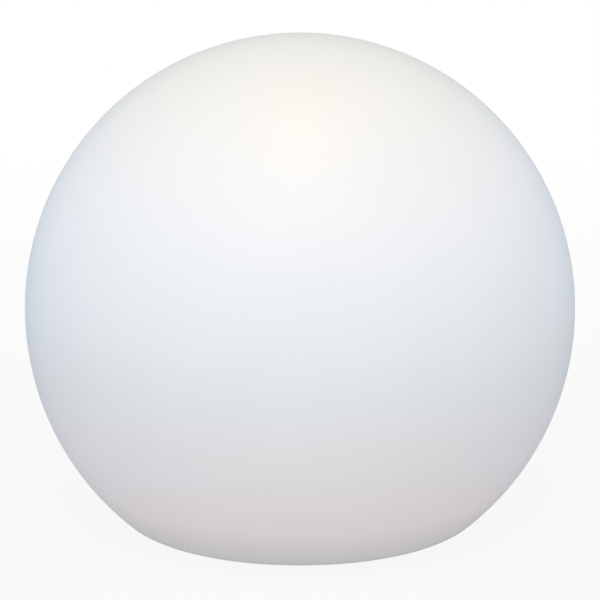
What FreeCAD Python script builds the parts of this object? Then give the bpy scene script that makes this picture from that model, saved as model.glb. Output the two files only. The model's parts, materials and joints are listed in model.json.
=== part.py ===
import FreeCAD, Part
import os
import re
import Sketcher

# Garden globe light, millimetres, +Z up. The origin is the middle of the resting plane, under the foot pads.
# A rotomoulded opal globe with a flat base stands on the ground. A round light module goes up into its
# underside, where a bayonet ring holds it. The module has the cells, the control board and the charging
# socket in it, and throws its light up through a small inner dome. The charging door is on the -Y side of
# its bottom cover and the push button on the +Y side.

PARTS_FOLDER = "parts"
doc = FreeCAD.newDocument("garden_globe_light")

# ---------------------------------------------------------------- driving dimensions, one cell each
SIZES = [
    # the globe
    ("globe_diameter", 400.0, "outside width of the moulding"),
    ("globe_height", 362.0, "flat base to crown, without the pads"),
    ("base_flat_diameter", 210.0, "flat that the globe stands on, inside its rolled corner"),
    ("base_corner_radius", 40.0, "roll between the flank and the flat base"),
    ("shell_wall", 3.2, "wall of the moulding"),
    ("recess_depth", 12.5, "base flat up to the ledge that carries the ring"),
    ("recess_edge_radius", 4.0, "roll at the mouth of the recess"),
    ("recess_margin", 3.0, "recess wall outside the bayonet ring"),
    ("boss_diameter", 13.0, "boss round each threaded insert"),
    ("boss_height", 6.0, "boss above the ledge"),
    # pads
    ("foot_rise", 1.5, "how far the pads stand below the base flat"),
    ("foot_sink", 1.5, "how far the pads sit in the base flat"),
    ("foot_diameter", 15.0, "pad width"),
    ("foot_count", 4, "pads round the base"),
    ("foot_angle", 45.0, "degrees from +X to the first pad"),
    # bayonet ring and its fixings
    ("ring_inset", 3.5, "ring above the base flat"),
    ("ring_gasket_thickness", 1.0, "gasket between ring and ledge"),
    ("ring_screw_edge", 7.0, "screw circle outside the opening"),
    ("ring_screw_count", 6, "screws round the ring"),
    ("ring_rim", 6.0, "ring outside its screw circle"),
    ("ring_edge_radius", 1.2, "roll of the ring's lower edge"),
    ("collar_height", 9.0, "collar above the ring"),
    ("collar_wall", 2.9, "collar wall"),
    ("collar_side_gap", 0.5, "collar inside the moulding's opening"),
    ("web_thickness", 1.5, "ring's roof over the lugs"),
    ("bayonet_count", 3, "lugs, shelves and stops"),
    ("shelf_thickness", 3.8, "shelf that carries a lug"),
    ("shelf_angle", 30.0, "degrees of ring that a shelf takes"),
    ("lug_angle", 22.0, "degrees of housing that a lug takes"),
    ("lug_thickness", 2.2, "lug height"),
    ("lug_reach", 5.4, "lug outside the housing wall"),
    ("lug_side_gap", 0.6, "ring bore outside the lugs"),
    ("slide_gap", 0.2, "lug above its shelf"),
    ("stop_angle", 3.4, "degrees that an end stop takes"),
    ("stop_gap_angle", 0.5, "degrees between a closed lug and its stop"),
    ("insert_diameter", 7.0, "brass insert"),
    ("insert_length", 8.0, "brass insert"),
    ("large_thread", 4.0, "thread of the ring screws"),
    ("large_head", 8.0, "head of the ring screws"),
    ("large_head_height", 3.0, "head of the ring screws"),
    ("small_thread", 2.9, "thread of the small screws"),
    ("small_head", 5.4, "head of the small screws"),
    ("small_head_height", 2.1, "head of the small screws"),
    ("head_clearance", 0.5, "round a sunk screw head"),
    ("thread_gap", 0.05, "round a screw's shank"),
    ("head_top", 0.6, "flat top of a head, as a share of its width"),
    ("head_side", 0.55, "straight side of a head, as a share of its height"),
    ("drive_reach", 0.54, "cross recess, as a share of the head's width"),
    ("drive_width", 0.9, "arm of the cross recess in a head"),
    ("drive_depth", 1.3, "cross recess in a head"),
    # light module housing
    ("housing_diameter", 112.0, "outside of the module's wall"),
    ("housing_height", 61.7, "rim to the top of the ceiling"),
    ("housing_wall", 2.5, "module wall"),
    ("ceiling_thickness", 3.0, "plate under the light board"),
    ("bead_reach", 2.2, "seal bead outside the housing wall"),
    ("bead_height", 6.0, "seal bead"),
    ("bead_gap", 0.4, "collar outside the bead"),
    ("seal_section", 2.6, "main seal's cord"),
    ("seal_gap", 0.05, "between a moving seal and its bore"),
    ("post_diameter", 8.4, "posts inside the wall"),
    ("post_sink", 0.4, "how far the posts run into the wall"),
    ("post_length", 14.0, "posts for the cover screws"),
    ("board_boss_length", 12.0, "posts for the board screws"),
    ("dome_post_length", 10.0, "posts for the dome screws"),
    ("screw_bite", 9.0, "shank of a small screw inside its post"),
    # bottom cover
    ("cover_drop", 1.5, "cover below the ring"),
    ("cover_thickness", 3.0, "cover plate"),
    ("cover_side_gap", 0.6, "cover inside the ring's shelves"),
    ("cover_gasket_thickness", 0.8, "gasket on the housing's rim"),
    ("cover_screw_count", 6, "screws round the cover"),
    ("cover_edge_radius", 1.0, "roll of the cover's lower edge"),
    ("dish_diameter", 58.0, "finger dish in the cover"),
    ("dish_depth", 10.0, "finger dish"),
    ("dish_wall", 2.0, "dish wall and roof"),
    ("grip_width", 11.0, "bar across the dish"),
    ("grip_edge_radius", 2.0, "rolled edges of the dish's mouth and of the bar"),
    ("controls_gap", 1.15, "guide tube and door well inside the housing's bore"),
    # push button
    ("button_diameter", 16.0, "push button"),
    ("button_proud", 0.6, "button below the cover"),
    ("button_gap", 0.1, "guide tube outside the button"),
    ("button_crown_radius", 1.2, "rolled edge of the button"),
    ("guide_wall", 2.0, "guide tube"),
    ("guide_height", 6.5, "guide tube above the cover"),
    ("keeper_reach", 1.4, "keeper flange outside the button"),
    ("keeper_height", 1.2, "keeper flange"),
    ("keeper_gap", 0.05, "keeper flange above the guide tube"),
    ("button_seal_height", 1.6, "middle of the button seal above the cover plate"),
    ("stem_diameter", 5.0, "button stem"),
    ("button_seal_section", 1.5, "button seal's cord"),
    ("switch_width", 12.0, "switch under the board"),
    ("switch_height", 4.8, "switch under the board"),
    ("plunger_diameter", 4.2, "switch plunger"),
    ("plunger_reach", 1.6, "plunger below the switch"),
    ("plunger_sink", 1.7, "plunger inside the switch"),
    ("plunger_well", 3.0, "hole in the switch for the plunger"),
    # charging door and socket
    ("door_length", 22.0, "charging door along X"),
    ("door_width", 13.0, "charging door along Y"),
    ("door_thickness", 2.0, "charging door"),
    ("door_gap", 0.3, "round the door"),
    ("door_corner_radius", 2.0, "free corners of the door"),
    ("door_edge_radius", 0.5, "roll round the door's lower face"),
    ("barrel_diameter", 3.2, "door's hinge barrel"),
    ("pin_diameter", 1.5, "hinge pin"),
    ("pin_gap", 0.05, "barrel bore outside the pin"),
    ("pin_bite", 1.2, "pin inside the well's wall at each end"),
    ("well_wall", 1.6, "block round the door's pocket"),
    ("well_height", 3.5, "block above the cover"),
    ("notch_diameter", 8.0, "thumb notch beside the door"),
    ("notch_depth", 1.0, "thumb notch"),
    ("door_seal_thickness", 0.5, "seal on the door"),
    ("door_seal_width", 1.0, "seal on the door"),
    ("door_seal_gap", 0.1, "seal below the pocket's roof"),
    ("socket_diameter", 12.0, "charging socket body"),
    ("socket_nose", 7.0, "socket's nose in the port"),
    ("socket_nose_height", 3.0, "socket's nose"),
    ("socket_bore", 5.8, "for a 5.5 mm plug"),
    ("socket_depth", 9.5, "bore above the nose's end"),
    ("socket_pin", 2.1, "centre contact"),
    ("socket_pin_length", 8.0, "centre contact"),
    ("socket_gasket_thickness", 0.6, "under the socket body"),
    ("port_gap", 0.1, "port outside the nose"),
    # control board and what it carries
    ("board_lift", 17.5, "board above the cover plate"),
    ("board_thickness", 1.6, "control board"),
    ("board_side_gap", 1.2, "board inside the wall"),
    ("board_screw_count", 4, "screws round the board"),
    ("board_screw_angle", 45.0, "degrees from +X to the first of them"),
    ("lens_diameter", 3.0, "charge lamp's light pipe"),
    ("lens_flange", 5.2, "light pipe's keeper"),
    ("lens_flange_height", 1.0, "light pipe's keeper"),
    ("lens_side", 15.0, "light pipe beside the button"),
    ("lamp_width", 2.4, "charge lamp on the board"),
    ("lamp_height", 1.0, "charge lamp on the board"),
    ("lamp_gap", 0.6, "light pipe below the lamp"),
    ("chip_width", 7.0, "control chips"),
    ("chip_height", 1.6, "control chips"),
    ("chip_side", 9.0, "control chips beside the middle"),
    ("chip_row", 26.0, "control chips behind the middle"),
    ("choke_diameter", 12.0, "choke coil"),
    ("choke_height", 8.0, "choke coil"),
    ("choke_flange", 1.0, "flange thickness, and how far it stands out of the winding"),
    ("capacitor_diameter", 8.0, "capacitors"),
    ("capacitor_height", 11.0, "capacitors"),
    ("capacitor_pitch", 11.0, "capacitors"),
    ("power_row", 28.0, "choke and capacitors in front of the middle"),
    ("choke_side", 18.0, "choke beside the middle"),
    ("header_width", 8.0, "lead headers along X"),
    ("header_length", 10.0, "lead headers along Y"),
    ("header_height", 7.0, "lead headers"),
    # vent
    ("vent_thread", 8.0, "breather plug"),
    ("vent_head", 11.0, "breather plug"),
    ("vent_head_height", 1.2, "breather plug"),
    ("vent_nut", 12.0, "nut across its flats"),
    ("vent_nut_height", 2.5, "nut"),
    ("vent_tail", 5.0, "breather's thread above the cover"),
    ("vent_bore", 3.0, "breather's airway"),
    ("vent_disc_thickness", 0.6, "membrane in the airway"),
    ("vent_angle", 150.0, "degrees round from +X"),
    # cells
    ("cell_diameter", 18.4, "cell"),
    ("cell_length", 65.0, "cell"),
    ("cell_pitch", 19.0, "cell to cell"),
    ("cell_headroom", 1.0, "cells below the ceiling"),
    ("cell_nub_diameter", 6.0, "positive end's nub"),
    ("cell_nub_height", 0.9, "positive end's nub"),
    ("holder_thickness", 5.0, "end holder"),
    ("holder_inset", 1.0, "end holder inside the cell's end"),
    ("holder_wall", 1.0, "holder outside the outer cells"),
    ("holder_gap", 0.1, "holder's hole round a cell"),
    ("strip_thickness", 0.3, "nickel strip"),
    ("strip_width", 8.0, "nickel strip"),
    ("clamp_width", 20.0, "battery clamp along X"),
    ("clamp_thickness", 2.0, "battery clamp"),
    ("clamp_gap", 0.3, "clamp off the cells"),
    ("clamp_foot", 10.0, "clamp foot beyond its leg"),
    ("clamp_boss_length", 6.0, "posts under the ceiling for the clamp"),
    ("clamp_screw_pitch", 10.0, "clamp screws along X"),
    ("clamp_screw_bite", 5.0, "shank above the clamp's foot"),
    # light board and dome
    ("dome_shoulder", 7.0, "dome's wall inside the housing wall"),
    ("dome_rise", 25.5, "dome above its flange"),
    ("dome_wall", 2.0, "dome"),
    ("dome_flange_thickness", 2.5, "dome's flange"),
    ("dome_flange_inset", 0.5, "flange inside the housing wall"),
    ("dome_gasket_thickness", 1.0, "under the dome's flange"),
    ("dome_screw_count", 4, "screws round the dome"),
    ("dome_screw_angle", 45.0, "degrees from +X to the first of them"),
    ("dome_screw_inset", 4.0, "screws inside the housing wall"),
    ("spreader_gap", 1.0, "heat spreader inside the dome"),
    ("spreader_thickness", 3.0, "heat spreader"),
    ("pad_thickness", 0.5, "heat pad"),
    ("light_board_step", 1.0, "light board inside the spreader"),
    ("light_board_thickness", 1.6, "light board"),
    ("light_screw_circle", 56.0, "screws that hold the light board"),
    ("light_screw_count", 3, "screws that hold the light board"),
    ("light_screw_angle", 60.0, "degrees from +X to the first of them"),
    ("light_screw_tail", 0.6, "ceiling left under these screws"),
    ("emitter_width", 5.0, "light emitter"),
    ("emitter_height", 1.6, "light emitter"),
    ("outer_emitter_circle", 72.0, "outer ring of emitters"),
    ("outer_emitter_count", 16, "outer ring of emitters"),
    ("inner_emitter_circle", 40.0, "inner ring of emitters"),
    ("inner_emitter_count", 8, "inner ring of emitters"),
    ("receiver_width", 6.0, "remote control receiver"),
    ("receiver_height", 6.0, "remote control receiver's case"),
    ("receiver_eye", 5.4, "its round eye"),
    ("receiver_eye_height", 2.0, "its eye above the case"),
    ("terminal_length", 6.0, "terminal along X"),
    ("terminal_width", 8.0, "terminal along Y"),
    ("terminal_height", 5.0, "terminal"),
    # leads
    ("lead_side", 5.7, "upright leads beyond the strips on the cells' ends"),
    ("lead_diameter", 1.8, "one lead"),
    ("lead_pitch", 2.4, "lead to lead"),
    ("lead_bend", 3.5, "smallest bend of a lead's middle line"),
    ("grommet_diameter", 7.0, "grommet in the ceiling"),
    ("grommet_flange", 9.2, "grommet under the ceiling"),
    ("grommet_flange_height", 1.2, "grommet under the ceiling"),
    ("grommet_bore", 4.8, "grommet"),
    ("lead_hole", 8.0, "leads' hole through spreader and light board"),
]

# ---------------------------------------------------------------- places worked out from them
PLACES = [
    ("globe_radius", "globe_diameter / 2"),
    ("globe_centre", "foot_rise + globe_height - globe_radius"),
    ("shell_under", "foot_rise"),
    ("flat_radius", "base_flat_diameter / 2"),
    ("roll_centre", "shell_under + base_corner_radius"),
    ("flank_radius", "((globe_radius - flat_radius)^2 + (globe_centre - roll_centre)^2 - base_corner_radius^2)"
                     " / (2 * (globe_radius - flat_radius - base_corner_radius))"),
    ("flank_centre", "globe_radius - flank_radius"),
    ("ledge_under", "shell_under + recess_depth"),
    ("ledge_top", "ledge_under + shell_wall"),
    ("housing_radius", "housing_diameter / 2"),
    ("housing_bore", "housing_radius - housing_wall"),
    ("lug_radius", "housing_radius + lug_reach"),
    ("ring_bore", "lug_radius + lug_side_gap"),
    ("bead_radius", "housing_radius + bead_reach"),
    ("collar_inner", "bead_radius + bead_gap"),
    ("collar_outer", "collar_inner + collar_wall"),
    ("opening_radius", "collar_outer + collar_side_gap"),
    ("ring_screw_place", "opening_radius + ring_screw_edge"),
    ("ring_radius", "ring_screw_place + ring_rim"),
    ("recess_radius", "ring_radius + recess_margin"),
    ("foot_place", "(recess_radius + recess_edge_radius + flat_radius) / 2"),
    ("ring_under", "shell_under + ring_inset"),
    ("ring_top", "ledge_under - ring_gasket_thickness"),
    ("web_under", "ring_top - web_thickness"),
    ("collar_top", "ring_top + collar_height"),
    ("shelf_top", "ring_under + shelf_thickness"),
    ("lug_under", "shelf_top + slide_gap"),
    ("lug_top", "lug_under + lug_thickness"),
    ("stop_middle", "lug_angle / 2 + stop_gap_angle + stop_angle / 2"),
    ("head_seat", "ring_under + large_head_height + head_clearance"),
    ("seal_middle", "ring_top + collar_height / 2"),
    ("seal_outer", "collar_inner - seal_gap"),
    ("cover_under", "ring_under - cover_drop"),
    ("cover_top", "cover_under + cover_thickness"),
    ("cover_radius", "collar_inner - cover_side_gap"),
    ("housing_under", "cover_top + cover_gasket_thickness"),
    ("housing_top", "housing_under + housing_height"),
    ("ceiling_under", "housing_top - ceiling_thickness"),
    ("post_place", "housing_bore - post_diameter / 2 + post_sink"),
    ("cover_head_seat", "cover_under + small_head_height"),
    ("dish_roof", "cover_under + dish_depth"),
    ("dish_top", "dish_roof + dish_wall"),
    ("dish_outer", "dish_diameter / 2 + dish_wall"),
    ("vent_place", "(dish_outer + housing_bore) / 2"),
    ("board_under", "cover_top + board_lift"),
    ("board_top", "board_under + board_thickness"),
    ("board_radius", "housing_bore - board_side_gap"),
    ("guide_top", "cover_top + guide_height"),
    ("guide_bore", "button_diameter / 2 + button_gap"),
    ("guide_outer", "guide_bore + guide_wall"),
    ("keeper_under", "guide_top + keeper_gap"),
    ("keeper_top", "keeper_under + keeper_height"),
    ("button_place", "housing_bore - controls_gap - guide_outer"),
    ("button_under", "cover_under - button_proud"),
    ("button_seal_outer", "guide_bore - seal_gap"),
    ("button_seal_middle", "cover_top + button_seal_height"),
    ("switch_under", "board_under - switch_height"),
    ("plunger_under", "switch_under - plunger_reach"),
    ("door_far", "sqrt((housing_bore - controls_gap)^2 - (door_length / 2 + door_gap + well_wall)^2)"
                 " - well_wall - door_gap"),
    ("door_near", "door_far - door_width"),
    ("hinge_place", "door_far - barrel_diameter / 2"),
    ("hinge_height", "cover_under + barrel_diameter / 2"),
    ("trough_near", "hinge_place - barrel_diameter / 2 - door_gap"),
    ("trough_roof", "hinge_height + barrel_diameter / 2 + door_gap"),
    ("pocket_roof", "cover_under + door_thickness + door_seal_thickness + door_seal_gap"),
    ("well_top", "cover_top + well_height"),
    ("port_place", "(trough_near + door_near - door_gap) / 2"),
    ("socket_under", "well_top + socket_gasket_thickness"),
    ("nose_under", "socket_under - socket_nose_height - socket_gasket_thickness"),
    ("cell_middle", "ceiling_under - cell_headroom - cell_diameter / 2"),
    ("cell_under", "cell_middle - cell_diameter / 2"),
    ("cell_side", "cell_pitch + cell_diameter / 2"),
    ("clamp_top", "cell_under - clamp_gap"),
    ("clamp_leg", "cell_side + clamp_gap"),
    ("clamp_foot_top", "ceiling_under - clamp_boss_length"),
    ("clamp_foot_end", "clamp_leg + clamp_thickness + clamp_foot"),
    ("clamp_screw_place", "clamp_leg + clamp_thickness + clamp_foot / 2"),
    ("flange_under", "housing_top + dome_gasket_thickness"),
    ("flange_top", "flange_under + dome_flange_thickness"),
    ("flange_radius", "housing_radius - dome_flange_inset"),
    ("dome_radius", "housing_radius - dome_shoulder"),
    ("dome_crown", "flange_top + dome_rise"),
    ("dome_sphere", "(dome_radius^2 + dome_rise^2) / (2 * dome_rise)"),
    ("dome_centre", "dome_crown - dome_sphere"),
    ("dome_mouth", "sqrt((dome_sphere - dome_wall)^2 - (flange_under - dome_centre)^2)"),
    ("dome_screw_place", "housing_radius - dome_screw_inset"),
    ("spreader_radius", "dome_radius - dome_wall - spreader_gap"),
    ("spreader_top", "housing_top + spreader_thickness"),
    ("light_board_under", "spreader_top + pad_thickness"),
    ("light_board_top", "light_board_under + light_board_thickness"),
    ("light_board_radius", "spreader_radius - light_board_step"),
    ("lead_place", "cell_length / 2 + strip_thickness + lead_side"),
    ("terminal_end", "light_screw_circle / 2 + terminal_length / 2"),
    ("header_top", "board_top + header_height"),
]

sizes = doc.addObject("Spreadsheet::Sheet", "Sizes")
for row, (alias, value, note) in enumerate(SIZES, start=1):
    sizes.set(f"A{row}", alias)
    sizes.set(f"B{row}", str(value))
    sizes.set(f"C{row}", note)
    sizes.setAlias(f"B{row}", alias)

places = doc.addObject("App::VarSet", "Places")
OWNER = {alias: "Sizes." for alias, _, _ in SIZES}
OWNER.update({name: "Places." for name, _ in PLACES})


def full(text):
    """An expression with each size and place given its owner: globe_radius becomes Places.globe_radius."""
    return re.sub(r"[a-z_]+", lambda word: OWNER.get(word[0], "") + word[0], text)


def bind(thing, prop, text):
    thing.setExpression(prop, full(text))


for name, text in PLACES:
    places.addProperty("App::PropertyFloat", name, "Places", "")
    bind(places, name, text)
doc.recompute()


def number(text):
    """What an expression comes to now, for a first guess or for a shape made by Part's own functions."""
    result = places.evalExpression(full(text))
    return float(getattr(result, "Value", result))


# ---------------------------------------------------------------- sketches and features
made_parts = []


def body(node):
    made = doc.addObject("PartDesign::Body", node)
    made_parts.append(made)
    return made


def origin(owner, role):
    return next(item for item in owner.Origin.OriginFeatures if item.Role == role)


def attach(thing, owner, plane, x="0", y="0", z="0"):
    thing.AttachmentSupport = [(origin(owner, plane), "")]
    thing.MapMode = "FlatFace"
    for letter, text in (("x", x), ("y", y), ("z", z)):
        if text != "0":
            bind(thing, f"AttachmentOffset.Base.{letter}", text)


def pin_point(sketch, line, end, across, up):
    """Ties one end of a sketch line or arc to two expressions, or to an axis where one is 0."""
    for text, axis, kind in ((across, -2, "DistanceX"), (up, -1, "DistanceY")):
        if text == "0":
            sketch.addConstraint(Sketcher.Constraint("PointOnObject", line, end, axis))
        else:
            index = sketch.addConstraint(Sketcher.Constraint(kind, -1, 1, line, end, number(text)))
            bind(sketch, f"Constraints[{index}]", text)


def end_at(sketch, line, point):
    """Which end of a sketch line or arc lies nearer to point: 1 for its start, 2 for its end."""
    gaps = [(sketch.getPoint(line, end) - point).Length for end in (1, 2)]
    return 1 if gaps[0] < gaps[1] else 2


def polygon(sketch, corners):
    """A closed outline of straight lines with every corner tied to its two expressions."""
    spots = [FreeCAD.Vector(number(across), number(up), 0) for across, up in corners]
    for index, spot in enumerate(spots):
        sketch.addGeometry(Part.LineSegment(spot, spots[(index + 1) % len(spots)]), False)
    for index in range(len(spots)):
        following = (index + 1) % len(spots)
        sketch.addConstraint(Sketcher.Constraint("Coincident", index, 2, following, 1))
    for index, (across, up) in enumerate(corners):
        pin_point(sketch, index, 1, across, up)


def circle(sketch, across, up, radius):
    spot = FreeCAD.Vector(number(across), number(up), 0)
    line = sketch.addGeometry(Part.Circle(spot, FreeCAD.Vector(0, 0, 1), number(radius)), False)
    pin_point(sketch, line, 3, across, up)
    index = sketch.addConstraint(Sketcher.Constraint("Radius", line, number(radius)))
    bind(sketch, f"Constraints[{index}]", radius)


def spin(owner, name, sketch, cut=False, sweep=None):
    """Turns a sketch about its own vertical axis: all the way round, or through sweep degrees, half to each
    side of its plane."""
    feature = owner.newObject("PartDesign::Groove" if cut else "PartDesign::Revolution", name)
    feature.Profile = sketch
    feature.ReferenceAxis = (sketch, ["V_Axis"])
    feature.Angle = 360
    if sweep:
        bind(feature, "Angle", sweep)
        feature.Midplane = True
    owner.Tip = feature
    return feature


def turned(owner, name, corners, cut=False, sweep=None, x="0", y="0", turn=None):
    """A turned form about an upright axis at x and y. Its corners are (radius, height) in a plane at turn
    degrees round from +X."""
    sketch = owner.newObject("Sketcher::SketchObject", name + "_outline")
    attach(sketch, owner, "XZ_Plane", x=x, z="0" if y == "0" else f"-({y})")
    if turn:
        sketch.AttachmentOffset = FreeCAD.Placement(
            FreeCAD.Vector(0, 0, 0), FreeCAD.Rotation(FreeCAD.Vector(0, 1, 0), number(turn)))
        bind(sketch, "AttachmentOffset.Rotation.Angle", turn)
    polygon(sketch, corners)
    return spin(owner, name, sketch, cut, sweep)


def ring(owner, name, inner, outer, low, high, **how):
    return turned(owner, name, [(inner, low), (outer, low), (outer, high), (inner, high)], **how)


def cord_ring(owner, name, middle, height, section, x="0"):
    """An O-ring: a circle of the section's width, spun about the axis."""
    sketch = owner.newObject("Sketcher::SketchObject", name + "_outline")
    attach(sketch, owner, "XZ_Plane", x=x)
    circle(sketch, middle, height, f"{section} / 2")
    return spin(owner, name, sketch)


def disc(owner, name, radius, low, high, x="0", y="0", cut=False):
    kind = "PartDesign::SubtractiveCylinder" if cut else "PartDesign::AdditiveCylinder"
    feature = owner.newObject(kind, name)
    attach(feature, owner, "XY_Plane", x=x, y=y, z=low)
    bind(feature, "Radius", radius)
    bind(feature, "Height", f"({high}) - ({low})")
    owner.Tip = feature
    return feature


def block(owner, name, x_low, x_high, y_low, y_high, low, high, cut=False):
    kind = "PartDesign::SubtractiveBox" if cut else "PartDesign::AdditiveBox"
    feature = owner.newObject(kind, name)
    attach(feature, owner, "XY_Plane", x=x_low, y=y_low, z=low)
    bind(feature, "Length", f"({x_high}) - ({x_low})")
    bind(feature, "Width", f"({y_high}) - ({y_low})")
    bind(feature, "Height", f"({high}) - ({low})")
    owner.Tip = feature
    return feature


def at_angle(reach, angle):
    """Where a feature stands that is reach away from the axis, angle degrees round from +X."""
    return {"x": f"{reach} * cos({angle})", "y": f"{reach} * sin({angle})"}


def swing(owner, angle):
    """Turns a finished body about the vertical axis."""
    owner.Placement.Rotation = FreeCAD.Rotation(FreeCAD.Vector(0, 0, 1), number(angle))
    bind(owner, "Placement.Rotation.Angle", angle)


def shift(owner, x="0", y="0"):
    """Moves a finished body sideways."""
    for letter, text in (("x", x), ("y", y)):
        if text != "0":
            bind(owner, f"Placement.Base.{letter}", text)


def around(owner, feature, count):
    """Repeats a feature evenly about the vertical axis."""
    pattern = owner.newObject("PartDesign::PolarPattern", feature.Name + "_set")
    pattern.Originals = [feature]
    pattern.Axis = (origin(owner, "Z_Axis"), [""])
    pattern.Angle = 360
    bind(pattern, "Occurrences", count)
    owner.Tip = pattern
    return pattern


def front_and_back(owner, feature):
    """Repeats a feature on the far side of the plane between front and back."""
    pattern = owner.newObject("PartDesign::Mirrored", feature.Name + "_pair")
    pattern.Originals = [feature]
    pattern.MirrorPlane = (origin(owner, "XZ_Plane"), [""])
    owner.Tip = pattern
    return pattern


def rolled(owner, name, radius, wanted):
    """Rounds the edges of the body so far that wanted() picks by their place."""
    doc.recompute()
    base = owner.Tip
    picked = [f"Edge{index}" for index, edge in enumerate(base.Shape.Edges, start=1)
              if not edge.Degenerated and wanted(edge)]
    if not picked:
        raise RuntimeError(f"{owner.Label}: no edge for {name}")
    feature = owner.newObject("PartDesign::Fillet", name)
    feature.Base = (base, picked)
    bind(feature, "Radius", radius)
    owner.Tip = feature
    return feature


def is_circle_at(edge, radius, height, slack=0.01):
    """True for a whole or part circle about the vertical axis with this radius and height."""
    curve = edge.Curve
    if not isinstance(curve, Part.Circle):
        return False
    middle = curve.Center
    on_axis = abs(middle.x) < slack and abs(middle.y) < slack
    return on_axis and abs(curve.Radius - radius) < slack and abs(middle.z - height) < slack


def pan_head_screws(owner, kind, seat, tip, x, y="0", count=None, turn_over=False):
    """A cross-head screw, repeated round the axis or, with no count, front and back. Its head is below the
    seat, or above it where it is turned over."""
    thread, head = f"{kind}_thread", f"{kind}_head"
    sign = "+" if turn_over else "-"
    crown = f"{seat} {sign} {kind}_head_height"
    edge = f"{seat} {sign} {kind}_head_height * head_side"

    def repeat(feature):
        return around(owner, feature, count) if count else front_and_back(owner, feature)

    repeat(turned(owner, "screw", [
        ("0", crown), (f"{head} / 2 * head_top", crown), (f"{head} / 2", edge), (f"{head} / 2", seat),
        (f"{thread} / 2", seat), (f"{thread} / 2", tip), ("0", tip)], x=x, y=y))
    low, high = (f"{crown} - drive_depth", crown) if turn_over else (crown, f"{crown} + drive_depth")
    reach = f"{head} / 2 * drive_reach"
    for name, along, across in (("slot", reach, "drive_width / 2"), ("cross_slot", "drive_width / 2", reach)):
        repeat(block(owner, name, f"{x} - {along}", f"{x} + {along}", f"{y} - {across}", f"{y} + {across}",
                     low, high, cut=True))


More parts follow.
